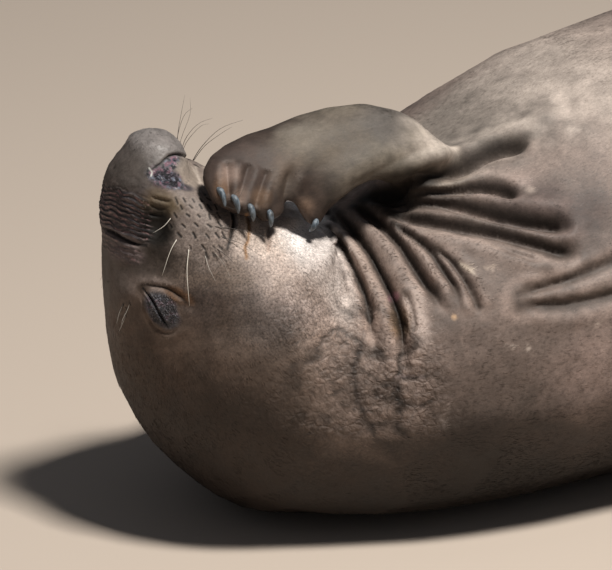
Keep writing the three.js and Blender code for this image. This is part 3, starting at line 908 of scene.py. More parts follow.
# Whiskers: pixels of the view from the root, thickness at the root in mm, how pale
NEAR_WHISKERS = (
    (((177, 239), (170, 252), (162, 276)), 0.55, 1.0),
    (((189, 248), (187, 272), (189.5, 306)), 0.6, 1.0),
    (((171, 218), (164, 226), (153, 233)), 0.5, 1.0),
    (((209, 215), (230, 213), (256, 216)), 0.4, 0.0),
    (((210, 226), (240, 230), (266, 238), (282, 249)), 0.4, 0.0),
    (((219, 236), (242, 244), (261, 256)), 0.45, 0.0),
    (((216, 248), (228, 257), (239, 269)), 0.45, 0.0),
    (((207, 205), (224, 206), (243, 212)), 0.35, 0.0),
    (((217, 228), (236, 230), (258, 238)), 0.35, 0.0),
    (((214, 252), (224, 264), (231, 279)), 0.35, 0.3),
    (((205, 255), (209, 268), (216, 282)), 0.35, 0.6),
    (((232, 205), (240, 196), (246, 182)), 0.3, 0.0),
    (((229, 203), (238, 191), (252, 190)), 0.3, 0.0),
)
FAR_WHISKERS = (
    (((172, 137), (175, 129), (183, 114), (193, 108)), 0.4, 0.0),
    (((174, 137), (176, 125), (181, 110), (185, 95)), 0.35, 0.0),
    (((180, 145), (184, 134), (197, 123), (213, 118)), 0.4, 0.0),
    (((181, 145), (186, 136), (200, 125), (209, 124)), 0.35, 0.0),
    (((192, 155), (202, 143), (220, 128), (243, 120)), 0.5, 0.0),
    (((193, 154), (205, 142), (222, 132), (232, 127)), 0.4, 0.0),
    (((178, 140), (181, 130), (190, 112), (190, 98)), 0.3, 0.0),
)


# Materials

def node_group(name, inputs, outputs):
    group = bpy.data.node_groups.new(name, "ShaderNodeTree")
    for label, kind, value in inputs:
        socket = group.interface.new_socket(label, in_out="INPUT", socket_type=kind)
        socket.default_value = value
    for label, kind in outputs:
        group.interface.new_socket(label, in_out="OUTPUT", socket_type=kind)
    nodes = group.nodes
    return group, nodes.new("NodeGroupInput"), nodes.new("NodeGroupOutput")


def link(tree, source, target):
    tree.links.new(source, target)


def math_node(tree, operation, *values):
    node = tree.nodes.new("ShaderNodeMath")
    node.operation = operation
    for socket, value in zip(node.inputs, values):
        if isinstance(value, (int, float)):
            socket.default_value = value
        else:
            link(tree, value, socket)
    return node.outputs[0]


def times(tree, one, other):
    return math_node(tree, "MULTIPLY", one, other)


def scaled(tree, vector, factor):
    node = tree.nodes.new("ShaderNodeVectorMath")
    node.operation = "SCALE"
    link(tree, vector, node.inputs[0])
    link(tree, factor, node.inputs["Scale"])
    return node.outputs["Vector"]


def object_place(tree):
    return tree.nodes.new("ShaderNodeTexCoord").outputs["Object"]


def parts_of(tree, name):
    """The three numbers kept as one colour attribute."""
    node = tree.nodes.new("ShaderNodeSeparateColor")
    link(tree, attribute(tree, name), node.inputs["Color"])
    return node.outputs


def noise(tree, place, scale, detail=3.0, rough=0.55, stretch=None):
    node = tree.nodes.new("ShaderNodeTexNoise")
    node.inputs["Scale"].default_value = scale
    node.inputs["Detail"].default_value = detail
    node.inputs["Roughness"].default_value = rough
    if stretch:
        mapping = tree.nodes.new("ShaderNodeMapping")
        mapping.inputs["Scale"].default_value = stretch
        link(tree, place, mapping.inputs["Vector"])
        place = mapping.outputs["Vector"]
    link(tree, place, node.inputs["Vector"])
    return node.outputs["Fac"]


def spread(tree, value, low, high, out_low=0.0, out_high=1.0):
    node = tree.nodes.new("ShaderNodeMapRange")
    node.inputs["From Min"].default_value = low
    node.inputs["From Max"].default_value = high
    node.inputs["To Min"].default_value = out_low
    node.inputs["To Max"].default_value = out_high
    link(tree, value, node.inputs["Value"])
    return node.outputs["Result"]


def mix(tree, factor, a, b):
    node = tree.nodes.new("ShaderNodeMix")
    node.data_type = "RGBA"
    sockets = [s for s in node.inputs if s.enabled]
    for socket, value in zip(sockets, (factor, a, b)):
        if isinstance(value, (int, float)):
            socket.default_value = value
        elif isinstance(value, tuple):
            socket.default_value = (*value, 1.0)
        else:
            link(tree, value, socket)
    return [s for s in node.outputs if s.enabled][0]


def attribute(tree, name, output="Color"):
    node = tree.nodes.new("ShaderNodeAttribute")
    node.attribute_name = name
    return node.outputs[output]


def new_material(name):
    material = bpy.data.materials.new(name)
    material.use_nodes = True
    return material, material.node_tree, material.node_tree.nodes["Principled BSDF"]


def placed(tree, group, **values):
    """A shared effect in a material, over the object's own coordinates."""
    node = tree.nodes.new("ShaderNodeGroup")
    node.node_tree = group
    link(tree, object_place(tree), node.inputs["Place"])
    for key, value in values.items():
        if isinstance(value, (int, float)):
            node.inputs[key].default_value = value
        else:
            link(tree, value, node.inputs[key])
    return node


def relief(tree, shader, height, strength, distance):
    bump = tree.nodes.new("ShaderNodeBump")
    bump.inputs["Strength"].default_value = strength
    bump.inputs["Distance"].default_value = distance
    link(tree, height, bump.inputs["Height"])
    link(tree, bump.outputs["Normal"], shader.inputs["Normal"])


def fur_grain_group():
    """Colour and height of short flat hair: soft mottling, fine streaks and salt-and-pepper."""
    group, given, result = node_group(
        "short_fur_grain",
        (("Place", "NodeSocketVector", (0, 0, 0)), ("Colour", "NodeSocketColor", (0.2, 0.2, 0.2, 1)),
         ("Speckle", "NodeSocketFloat", 0.5)),
        (("Colour", "NodeSocketColor"), ("Height", "NodeSocketFloat"), ("Roughness", "NodeSocketFloat")),
    )
    place = given.outputs["Place"]
    mottle = noise(group, place, 9, 5, 0.6)
    blotches = noise(group, place, 38, 4, 0.6)
    grains = noise(group, place, 360, 3, 0.75)
    hairs = noise(group, place, 260, 4, 0.7, (0.45, 1.0, 1.0))
    tone = times(group, spread(group, mottle, 0.3, 0.7, 0.8, 1.18),
                 spread(group, blotches, 0.3, 0.7, 0.82, 1.18))
    speck = times(group, spread(group, grains, 0.3, 0.7, -1, 1), given.outputs["Speckle"])
    streak = math_node(group, "MULTIPLY_ADD", spread(group, hairs, 0.3, 0.7, -1, 1), 0.16,
                       math_node(group, "MULTIPLY_ADD", speck, 0.85, 1.0))
    colour = scaled(group, given.outputs["Colour"], times(group, tone, streak))
    link(group, colour, result.inputs["Colour"])
    height = math_node(group, "ADD", times(group, hairs, 0.6), times(group, grains, 0.4))
    link(group, height, result.inputs["Height"])
    link(group, spread(group, blotches, 0.3, 0.7, -0.06, 0.06), result.inputs["Roughness"])
    return group


def creased_group():
    """Height of fine crossing cracks, as in bare leathery skin."""
    group, given, result = node_group(
        "crossing_cracks",
        (("Place", "NodeSocketVector", (0, 0, 0)), ("Cells", "NodeSocketFloat", 60.0)),
        (("Height", "NodeSocketFloat"),),
    )
    wander = group.nodes.new("ShaderNodeTexNoise")
    link(group, given.outputs["Place"], wander.inputs["Vector"])
    link(group, times(group, given.outputs["Cells"], 0.6), wander.inputs["Scale"])
    shift = scaled(group, wander.outputs["Color"], math_node(group, "DIVIDE", 1.4, given.outputs["Cells"]))
    bent = group.nodes.new("ShaderNodeVectorMath")
    link(group, given.outputs["Place"], bent.inputs[0])
    link(group, shift, bent.inputs[1])
    cells = group.nodes.new("ShaderNodeTexVoronoi")
    cells.feature = "DISTANCE_TO_EDGE"
    link(group, bent.outputs["Vector"], cells.inputs["Vector"])
    link(group, given.outputs["Cells"], cells.inputs["Scale"])
    link(group, spread(group, cells.outputs["Distance"], 0.0, 0.3), result.inputs["Height"])
    return group


def crumpled_group():
    """Height of loose skin in crumples: thin winding valleys of two sizes between soft ridges."""
    group, given, result = node_group(
        "crumpled_skin", (("Place", "NodeSocketVector", (0, 0, 0)),), (("Height", "NodeSocketFloat"),),
    )
    sizes = []
    for scale, width, stretch in ((34, 0.16, (1.4, 0.8, 1.1)), (80, 0.2, (1.2, 0.8, 1.0))):
        wave = noise(group, given.outputs["Place"], scale, 3, 0.5, stretch)
        fold = math_node(group, "ABSOLUTE", math_node(group, "SUBTRACT", wave, 0.5))
        sizes.append(spread(group, fold, 0.0, width))
    height = math_node(group, "MULTIPLY_ADD", sizes[0], 0.65, times(group, sizes[1], 0.35))
    link(group, height, result.inputs["Height"])
    return group


def hide_material(fur, cracked, crumpled):
    """The coat's colour with the nose's rings, the leathery lids and the cracked skin of the neck, with
    painted shade in the rings' valleys, the crumples and the cracks.
    """
    material, tree, shader = new_material("hide")
    net, speckle, wet = parts_of(tree, "masks")
    ring_share, ring_mask, leather = parts_of(tree, "rings")
    grain = placed(tree, fur, Colour=attribute(tree, "tint"), Speckle=speckle)
    crumples = placed(tree, crumpled).outputs["Height"]
    plates = placed(tree, cracked, Cells=85.0).outputs["Height"]
    tight = placed(tree, cracked, Cells=230.0).outputs["Height"]
    place = object_place(tree)
    turns = math_node(tree, "MULTIPLY_ADD", noise(tree, place, 60, 3), 0.9,
                      times(tree, ring_share, RING_SCALE))
    wave = math_node(tree, "SINE", times(tree, turns, 2 * math.pi))
    deep = times(tree, spread(tree, wave, 0.1, -0.8), ring_mask)
    pink = times(tree, spread(tree, wave, 0.35, 1.0), ring_mask)
    pink = times(tree, pink, spread(tree, noise(tree, place, 180, 2), 0.46, 0.6))
    valley = math_node(tree, "MAXIMUM", spread(tree, crumples, 0.5, 0.1), spread(tree, plates, 0.35, 0.0))
    valley = times(tree, valley, net)
    cracks = times(tree, spread(tree, tight, 0.4, 0.0), leather)
    colour = grain.outputs["Colour"]
    # Painted shade in the rings' valleys, the neck's crumples and cracks and the lids' cracks; pink on the
    # rings' tops
    for mask, strength, shade in ((deep, 0.8, RING_SHADE), (pink, 0.8, RING_PINK),
                                  (valley, 0.4, CRACK_SHADE), (cracks, 0.8, LEATHER_SHADE)):
        colour = mix(tree, times(tree, mask, strength), colour, shade)
    link(tree, colour, shader.inputs["Base Color"])
    dry = math_node(tree, "ADD", grain.outputs["Roughness"], 0.66)
    link(tree, math_node(tree, "SUBTRACT", dry, times(tree, wet, 0.34)), shader.inputs["Roughness"])
    height = times(tree, grain.outputs["Height"], 0.5)
    for source, mask, size in ((crumples, net, 2.0), (plates, net, 1.2), (wave, ring_mask, 0.7),
                               (tight, leather, 1.1)):
        height = math_node(tree, "MULTIPLY_ADD", times(tree, source, mask), size, height)
    relief(tree, shader, height, 0.85, 1.2 * MM)
    shader.inputs["Specular IOR Level"].default_value = HIDE_SHINE
    return material


def coat_material(fur):
    material, tree, shader = new_material("coat")
    grain = placed(tree, fur, Colour=attribute(tree, "tint"), Speckle=0.3)
    link(tree, grain.outputs["Colour"], shader.inputs["Base Color"])
    link(tree, math_node(tree, "ADD", grain.outputs["Roughness"], 0.6), shader.inputs["Roughness"])
    relief(tree, shader, grain.outputs["Height"], 0.4, 0.5 * MM)
    shader.inputs["Specular IOR Level"].default_value = HIDE_SHINE
    return material


def horn_material():
    material, tree, shader = new_material("horn")
    place = object_place(tree)
    streaks = noise(tree, place, 300, 3, 0.6, (1.0, 1.0, 0.15))
    patches = noise(tree, place, 90, 2)
    colour = mix(tree, spread(tree, streaks, 0.35, 0.65), HORN_DARK, HORN_PALE)
    colour = mix(tree, spread(tree, patches, 0.5, 0.7, 0.0, 0.7), colour, HORN_DIRT)
    link(tree, colour, shader.inputs["Base Color"])
    link(tree, spread(tree, streaks, 0.3, 0.7, 0.4, 0.6), shader.inputs["Roughness"])
    relief(tree, shader, streaks, 0.4, 0.3 * MM)
    return material


def eye_material():
    material, tree, shader = new_material("eye")
    place = object_place(tree)
    veins = noise(tree, place, 220, 4, 0.6)
    colour = mix(tree, spread(tree, veins, 0.3, 0.7), EYE_DARK, EYE_BROWN)
    link(tree, colour, shader.inputs["Base Color"])
    link(tree, spread(tree, veins, 0.3, 0.7, 0.04, 0.1), shader.inputs["Roughness"])
    return material


def whisker_material():
    material, tree, shader = new_material("whisker")
    place = object_place(tree)
    fine = noise(tree, place, 500, 2)
    dark = mix(tree, fine, WHISKER_DARK, WHISKER_BROWN)
    colour = mix(tree, attribute(tree, "pale", "Fac"), dark, WHISKER_PALE)
    link(tree, colour, shader.inputs["Base Color"])
    link(tree, spread(tree, fine, 0.3, 0.7, 0.35, 0.5), shader.inputs["Roughness"])
    return material


# Settings

class SealSkinSettings(bpy.types.PropertyGroup):
    overlap: FloatProperty(name="Overlap", description="How far each solid grows to meet its neighbours",
                           default=0.45 * MM, subtype="DISTANCE")
    grid: FloatProperty(name="Grid", description="Spacing of the first even skin",
                        default=4.6 * MM, min=3 * MM, subtype="DISTANCE")
    kept: FloatProperty(name="Kept", description="Share of the skin's faces kept after thinning the trunk",
                        default=0.13, min=0.05, max=1.0, subtype="FACTOR")
    fullness: FloatProperty(name="Fullness", description="How far the evened trunk is filled out again",
                            default=4 * MM, subtype="DISTANCE")
    evening: IntProperty(name="Evening", description="Rounds of evening out the trunk", default=320)
    contrast: FloatProperty(name="Contrast", description="How much the dark parts of the hide are darkened",
                            default=0.32, min=0, max=2)
    warm: FloatVectorProperty(name="Hide", description="Colour of the trunk's hide", subtype="COLOR",
                              default=(0.215, 0.168, 0.146), min=0, max=1)
    # The hide's darkness near the floor is partly painted shade
    low: FloatVectorProperty(name="Low hide", description="Colour of the hide near the floor",
                             subtype="COLOR", default=(0.025, 0.015, 0.0095), min=0, max=1)
    arm: FloatVectorProperty(name="Arm", description="Colour of the forearm", subtype="COLOR",
                             default=(0.17, 0.145, 0.115), min=0, max=1)
    hand: FloatVectorProperty(name="Hand", description="Colour of the hand", subtype="COLOR",
                              default=(0.06, 0.04, 0.031), min=0, max=1)


class SealCoatSettings(bpy.types.PropertyGroup):
    count: IntProperty(name="Tufts", description="Tufts in each piece of the coat", default=60000, min=100)
    pieces: IntProperty(name="Pieces", description="Pieces of coat", default=5, min=1)
    length: FloatProperty(name="Length", description="Length of a tuft on the trunk",
                          default=8 * MM, subtype="DISTANCE")
    lift: FloatProperty(name="Lift", description="How far a tuft's tip stands from the skin, per length",
                        default=0.03, subtype="FACTOR")


class SealStageSettings(bpy.types.PropertyGroup):
    floor: FloatVectorProperty(name="Floor", description="Colour of the floor", subtype="COLOR",
                               default=(0.54, 0.46, 0.39), min=0, max=1)
    sun: FloatProperty(name="Key light", description="Power of the key light",
                       default=345.0, subtype="POWER")
    fill: FloatProperty(name="Fill", description="Strength of the soft light all round", default=0.1)


# Pieces

class OBJECT_OT_seal_skin(bpy.types.Operator):
    """One skin over all the flesh, with its folds and markings"""
    bl_idname = "object.seal_skin"
    bl_label = "Seal Skin"

    def execute(self, context):
        settings = context.scene.seal_skin
        hide = Hide(self.even_skin(settings))
        self.smooth_forms(hide, settings)
        self.fold(hide)
        self.face(hide)
        self.digits(hide)
        self.webs(hide)
        hide.co[:, 2] = np.maximum(hide.co[:, 2], 0)
        hide.write()
        self.colour(hide, settings)
        material = hide_material(fur_grain_group(), creased_group(), crumpled_group())
        skin = add_piece("skin", hide.mesh, material)
        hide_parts(*FLESH)
        return {"FINISHED"}

    def even_skin(self, settings):
        """One even skin over the solids, with fewer faces where the body is plain."""
        mesh = joined_solids(FLESH + ("eye_right", "eye_left"), settings.overlap)
        mesh = with_modifier(mesh, "REMESH", mode="VOXEL", voxel_size=settings.grid)
        x, y, z = design(Hide(mesh).co).T
        plain = np.maximum(np.clip((x - PLAIN_FROM) / PLAIN_LENGTH, 0, 1),
                           np.clip((PLAIN_UNDER - z) / PLAIN_DEPTH, 0, 1))
        unseen = y + UNSEEN_SLOPE * x > UNSEEN_FROM
        plain = np.where(unseen, np.maximum(plain, 0.5), plain)
        return with_modifier(mesh, "DECIMATE", ratio=settings.kept, vertex_group="plain",
                             vertex_group_factor=1.0,
                             weights=LEAST_THINNING + (1 - LEAST_THINNING) * plain)

    def smooth_forms(self, hide, settings):
        """Evens the steps of the solids away and blends the limbs in."""
        x, z = design(hide.co).T[::2]
        limbs = np.maximum.reduce(list(hide.belonging().values()))
        trunk = np.maximum(step(x, *EVEN_FROM), step(EVEN_UNDER - z, 0, EVEN_DEPTH))
        trunk *= step(TAIL_FROM - x, 0, TAIL_LENGTH) * (1 - limbs)
        even = (settings.grid / hide.spacing()) ** 2
        hide.relax(0.5 * trunk * np.minimum(even, 1), settings.evening)
        hide.relax(0.5 * np.clip(4 * limbs * (1 - limbs), 0, 1), LIMB_ROUNDS)
        for pixel, size, rounds in SHOULDER_EVENING:
            distance = np.linalg.norm(hide.co - hide.at(pixel), axis=1)
            hide.relax(0.5 * bell(distance, size), rounds)
        hide.relax(np.full(len(x), 0.5), LAST_ROUNDS, LAST_SPRING)
        hide.raise_by(settings.fullness * trunk)

    def measure(self, hide):
        """Pixels of each point or its twin on the near side, if it is near, how it faces, and its limbs."""
        moved, facing = near_side(hide.co, hide.normal)
        shares = hide.belonging()
        body = 1 - np.clip(sum(shares.values()), 0, 1)
        front = step(facing @ np.array(BACK), -0.25, 0.1)
        pix = view_pixels(moved)
        near = np.linalg.norm(pix - view_pixels(hide.co), axis=1) < 0.5
        return pix, near, front, body, shares

    def fold(self, hide):
        """The large folds of neck and chest, and the crumples between them."""
        finer = np.zeros(len(hide.co), bool)
        for pixels, _, width, _, mirrored in BIG_FOLDS:
            for line in hide.places(pixels, mirrored):
                finer |= reach(hide.co, line, 0.03)[0] < FOLD_SPAN * width * MM
        spacing = hide.spacing()
        finer &= spacing > FOLD_SPACING
        pix, near, front, body, _ = self.measure(hide)
        finer |= near & (body * front > 0.5) & within(pix, NECK_BEND) & (spacing > CRUMPLE_SPACING)
        hide.refine(finer)
        hide.raise_by(carved(hide, BIG_FOLDS, BIG_ENDS))
        pix, _, front, body, _ = self.measure(hide)
        bent = body * front * inside(pix, CRUMPLED_NECK, 0.5, 1.15)
        hide.raise_by(CRUMPLE_HEIGHT * bent * (crumpled(hide.co) - CRUMPLE_LEVEL))

    def face(self, hide):
        """The nose, lids, pads and creases of the head, on a finer mesh."""
        pix, near, front, body, shares = self.measure(hide)
        finer = within(pix, MUZZLE, EYE_SOCKET) | near & within(pix, THROAT)
        finer &= (body > 0.5) & (front > 0)
        finer |= (shares["arm_right"] > 0.5) & within(view_pixels(hide.co), FINGERS)
        hide.refine(finer)
        pix, near, front, body, shares = self.measure(hide)
        finer = within(pix, NOSTRIL, LIDS) | near & within(pix, RINGED_NOSE, WHISKER_PAD)
        finer &= (body > 0.5) & (front > 0)
        hide.refine(finer)
        pix, _, front, body, _ = self.measure(hide)
        head = body * front
        height = np.zeros(len(hide.co))
        for middle, sizes, turn, rise in SWELLINGS:
            height += rise * MM * head * np.exp(-oval(pix, middle, sizes, turn) ** 2)
        hide.raise_by(height)
        height = carved(hide, FINE_FOLDS, FINE_ENDS)
        for line, size in self.follicles(hide):
            height -= ROOT_DEPTH * bell(reach(hide.co, line, 0.01)[0], size * MM)
        turns, mask = self.rings(hide, pix, head)
        height += RING_HEIGHT * np.sin(2 * math.pi * turns) * mask
        height += PORE_HEIGHT * (clouds(hide.co, 0.02, 5) + clouds(hide.co, 0.007, 6)) * head
        hide.raise_by(height)

    def rings(self, hide, pix, head):
        """Turn count of the nose's rings at each point, and where they show."""
        across, down = pix.T
        top, base = np.interp(across, *RING_TOP), np.interp(across, *RING_BASE)
        share = (down - top) / (base - top)
        turns = RING_COUNT * share + 0.45 * clouds(hide.co, 0.03, 9) + 0.2 * clouds(hide.co, 0.01, 10, 2)
        mask = step(share, -0.1, 0.08) * (1 - step(share, 0.92, 1.0)) * (1 - step(across, 140, 155)) * head
        under = down - base
        lower = step(under, 4, 8) * (1 - step(under, 20, 28)) * (1 - step(across, 132, 146)) * head
        return turns, np.maximum(mask, 0.45 * lower)

    def follicles(self, hide):
        """Short lines at the whisker roots, and how wide each is in mm."""
        rng = np.random.default_rng(8)
        lines = []
        for down, places in FOLLICLES:
            for across in places:
                lean, length, size = rng.uniform(0.5, 2.0), rng.uniform(0.8, 3.2), rng.uniform(0.9, 1.8)
                shift = rng.uniform(-1, 1, 2)
                a, d = across + shift[0], down + shift[1]
                path = ((a - lean, d - length), (a + lean, d + length))
                lines += [(line, size) for line in hide.places(path, True, 2)]
        for across, down in BROW_ROOTS:
            path = ((across - 0.6, down - 1.5), (across + 0.6, down + 1.5))
            lines += [(line, 1.1) for line in hide.places(path, True, 2)]
        return lines

    def digits(self, hide):
        """Ridges of the digits under the skin of the flippers, but for the near hand, which has its own."""
        height = np.zeros(len(hide.co))
        for limb, share in hide.belonging().items():
            if limb == "arm_right":
                continue
            line = limb_line(limb)[0]
            if limb == "arm_left":
                tips = [node_points(name).mean(0) for name in claw_names("left")]
                root, rise, width = line[2], 2.0, 12.8
            else:
                points = node_points(*LIMBS[limb])
                far = points[points[:, 0] > points[:, 0].max() - 0.06]
                low, high = far[:, 1].min() + 0.012, far[:, 1].max() - 0.012
                spots = np.linspace(low, high, 5)
                tips = [np.array((far[:, 0].max() - 0.02, y, far[:, 2].mean())) for y in spots]
                root, rise, width = line[0], 4.0, 14.4
            for tip in tips:
                start = root + (tip - root) * 0.2
                distance, along = reach(hide.co, np.array([start, tip]), 0.08)
                height += share * rise * MM * bell(distance, width * MM) * step(along, 0, 0.3)
        hide.raise_by(height)

    def webs(self, hide):
        """Notches between the tips of the near hand's digits."""
        own = view_pixels(hide.co)
        arm = hide.belonging()["arm_right"] > 0.5
        for middle, sizes, rise in WEBS:
            lift = rise * MM * arm * np.exp(-oval(own, middle, sizes) ** 2)
            hide.co += lift[:, None] * np.array(UP)
        hide.write()

    def colour(self, hide, settings):
        """Colours at each point, with painted shade and painted light among them, and where bare skin,
        rings, cracks, speckles and coat show.
        """
        pix, _, front, body, shares = self.measure(hide)
        head = body * front
        drift = clouds(hide.co, 0.06, 11)
        wobble = 0.22 * clouds(hide.co, 0.03, 13) + 0.1 * clouds(hide.co, 0.008, 14, 2)
        # The hide darkens towards the floor, partly as painted shade
        low = 1 - step(design(hide.co)[:, 2] + 0.03 * drift, 0.05, 0.36)
        tint = blend(settings.warm, settings.low, low) * (1 + 0.12 * clouds(hide.co, 0.25, 12))[:, None]
        # Patches of the hide's own colour, of painted shade and of painted light
        paint_patches(tint, pix, PATCHES, head, wobble)
        self.colour_limbs(hide, settings, tint, shares, drift)
        # Patches of the near arm, with painted shade under the forearm
        paint_patches(tint, view_pixels(hide.co), ARM_PATCHES, shares["arm_right"], wobble)
        creased = self.colour_folds(hide, pix, head, tint)
        lids = head * inside(pix, LEATHER_LIDS, 0.85, 1.05, wobble)
        scar = [inside(pix, spot, 0.7, 1.1, 2 * wobble) for spot in (SCAR, SCAR_TOP)]
        self.colour_grit(tint, hide.co, head * np.maximum(*scar))
        self.colour_grit(tint, hide.co + 0.05, 0.4 * lids)
        # Thin marks, among them painted shade in slits and creases
        for pixels, width, colour, strength, mirrored in LINES:
            for line in hide.places(pixels, mirrored):
                paint(tint, strength * bell(reach(hide.co, line, 0.02)[0], width * MM), colour)
        for line, size in self.follicles(hide):
            distance = reach(hide.co, line, 0.02)[0]
            paint(tint, 0.1 * bell(distance - 0.003, 1.2 * MM), ROOT_RIM)
            paint(tint, 0.95 * bell(distance, size * MM), ROOT_DARK)
        bright = np.clip(tint.mean(1) / 0.3, 0.05, 1)
        tint *= (1.08 * bright ** settings.contrast)[:, None]
        net = np.maximum(head * inside(pix, CRACKED_NECK, 0.4, 1.15, 0.3 * drift),
                         0.7 * head * inside(pix, CRACKED_JAW, 0.3, 1.2, 0.3 * drift))
        net *= 0.55 + 0.45 * step(clouds(hide.co, 0.045, 18, 2), -0.4, 0.3)
        dots = (0.15 + 0.6 * head * inside(pix, SPECKLED_JAW, 0.6, 1.2)) * (1 - 0.6 * shares["arm_right"])
        wet = 0.7 * head * np.exp(-oval(pix, *WET_NOSE) ** 2)
        turns, ring_mask = self.rings(hide, pix, head)
        leather = np.maximum(lids, 0.8 * head * inside(pix, LEATHER_SCAR, 0.7, 1.1))
        bare = np.maximum.reduce([
            ring_mask, leather, 0.85 * creased, 0.9 * net,
            head * inside(pix, BARE_NOSTRIL, 0.7, 1.1), 0.75 * head * inside(pix, BARE_PAD, 0.7, 1.1),
        ])
        short = np.maximum.reduce([
            head * inside(pix, FACE, 0.7, 1.1), creased,
            *(step(share, 0.2, 0.8) for share in shares.values()),
        ])
        store(hide.mesh, "tint", tint)
        store(hide.mesh, "masks", np.stack([net, dots, wet], axis=1))
        store(hide.mesh, "rings", np.stack([turns / RING_SCALE, ring_mask, leather], axis=1))
        store(hide.mesh, "coat", np.stack([bare, short], axis=1))

    def colour_limbs(self, hide, settings, tint, shares, drift):
        """Forearms that darken to the hands, and hind flippers that do so towards their ends."""
        mottle = (1 + 0.3 * clouds(hide.co, 0.05, 15) + 0.28 * clouds(hide.co, 0.013, 16))[:, None]
        for limb, share in shares.items():
            line, across = limb_line(limb)
            along = on_line(hide.co, line, across)[0]
            if limb.startswith("arm"):
                skin = blend(settings.arm, settings.hand, step(along + 0.05 * drift, 0.45, 0.75))
            else:
                skin = blend(settings.warm, np.array(settings.hand) * 2.6, step(along, 0.3, 0.9))
            paint(tint, share, skin * mottle)

    def colour_folds(self, hide, pix, head, tint):
        """Painted shade in the valleys of folds and crumples, and painted highlights on their ridges. Says
        how near a fold each point is.
        """
        creased, valley, ridge = np.zeros((3, len(hide.co)))
        for pixels, depth, width, _, mirrored in BIG_FOLDS:
            for line in hide.places(pixels, mirrored):
                distance, along = reach(hide.co, line, 0.06)
                fade = step(1 - along, 0, 0.3 if mirrored else 0.12) * min(max(depth, 0) / 12, 1)
                valley = np.maximum(valley, fade * bell(distance, 1.15 * width * MM))
                ridge = np.maximum(ridge, fade * bell(distance - 2.3 * width * MM, width * MM))
                creased = np.maximum(creased, bell(distance, 3 * width * MM))
        bent = head * inside(pix, CRUMPLED_NECK, 0.5, 1.15)
        # Painted shade in the crumples' valleys and painted light on their ridges
        tint *= (1 + 3.0 * bent * (crumpled(hide.co) - CRUMPLE_LEVEL))[:, None]
        # Painted highlights on the folds' ridges
        tint *= (1 + 0.5 * ridge * (1 - valley))[:, None]
        tint *= (1 + 0.3 * creased * clouds(hide.co, 0.016, 17, 2))[:, None]
        # Painted shade in the folds' valleys
        paint(tint, 0.86 * valley, FOLD_SHADE)
        return creased

    def colour_grit(self, tint, points, weight):
        """Dark, pink, blue and pale grains of bare leathery skin."""
        grit, hue = clouds(points, 0.0045, 31, 2), clouds(points, 0.01, 32, 2)
        paint(tint, weight * step(-grit, 0.15, 0.4), GRIT_DARK)
        paint(tint, weight * step(grit, 0.0, 0.35) * step(hue, -0.2, 0.1), GRIT_PINK)
        paint(tint, weight * step(grit, 0.0, 0.35) * step(-hue, -0.1, 0.2), GRIT_BLUE)
        paint(tint, weight * step(grit, 0.6, 0.85), GRIT_PALE)


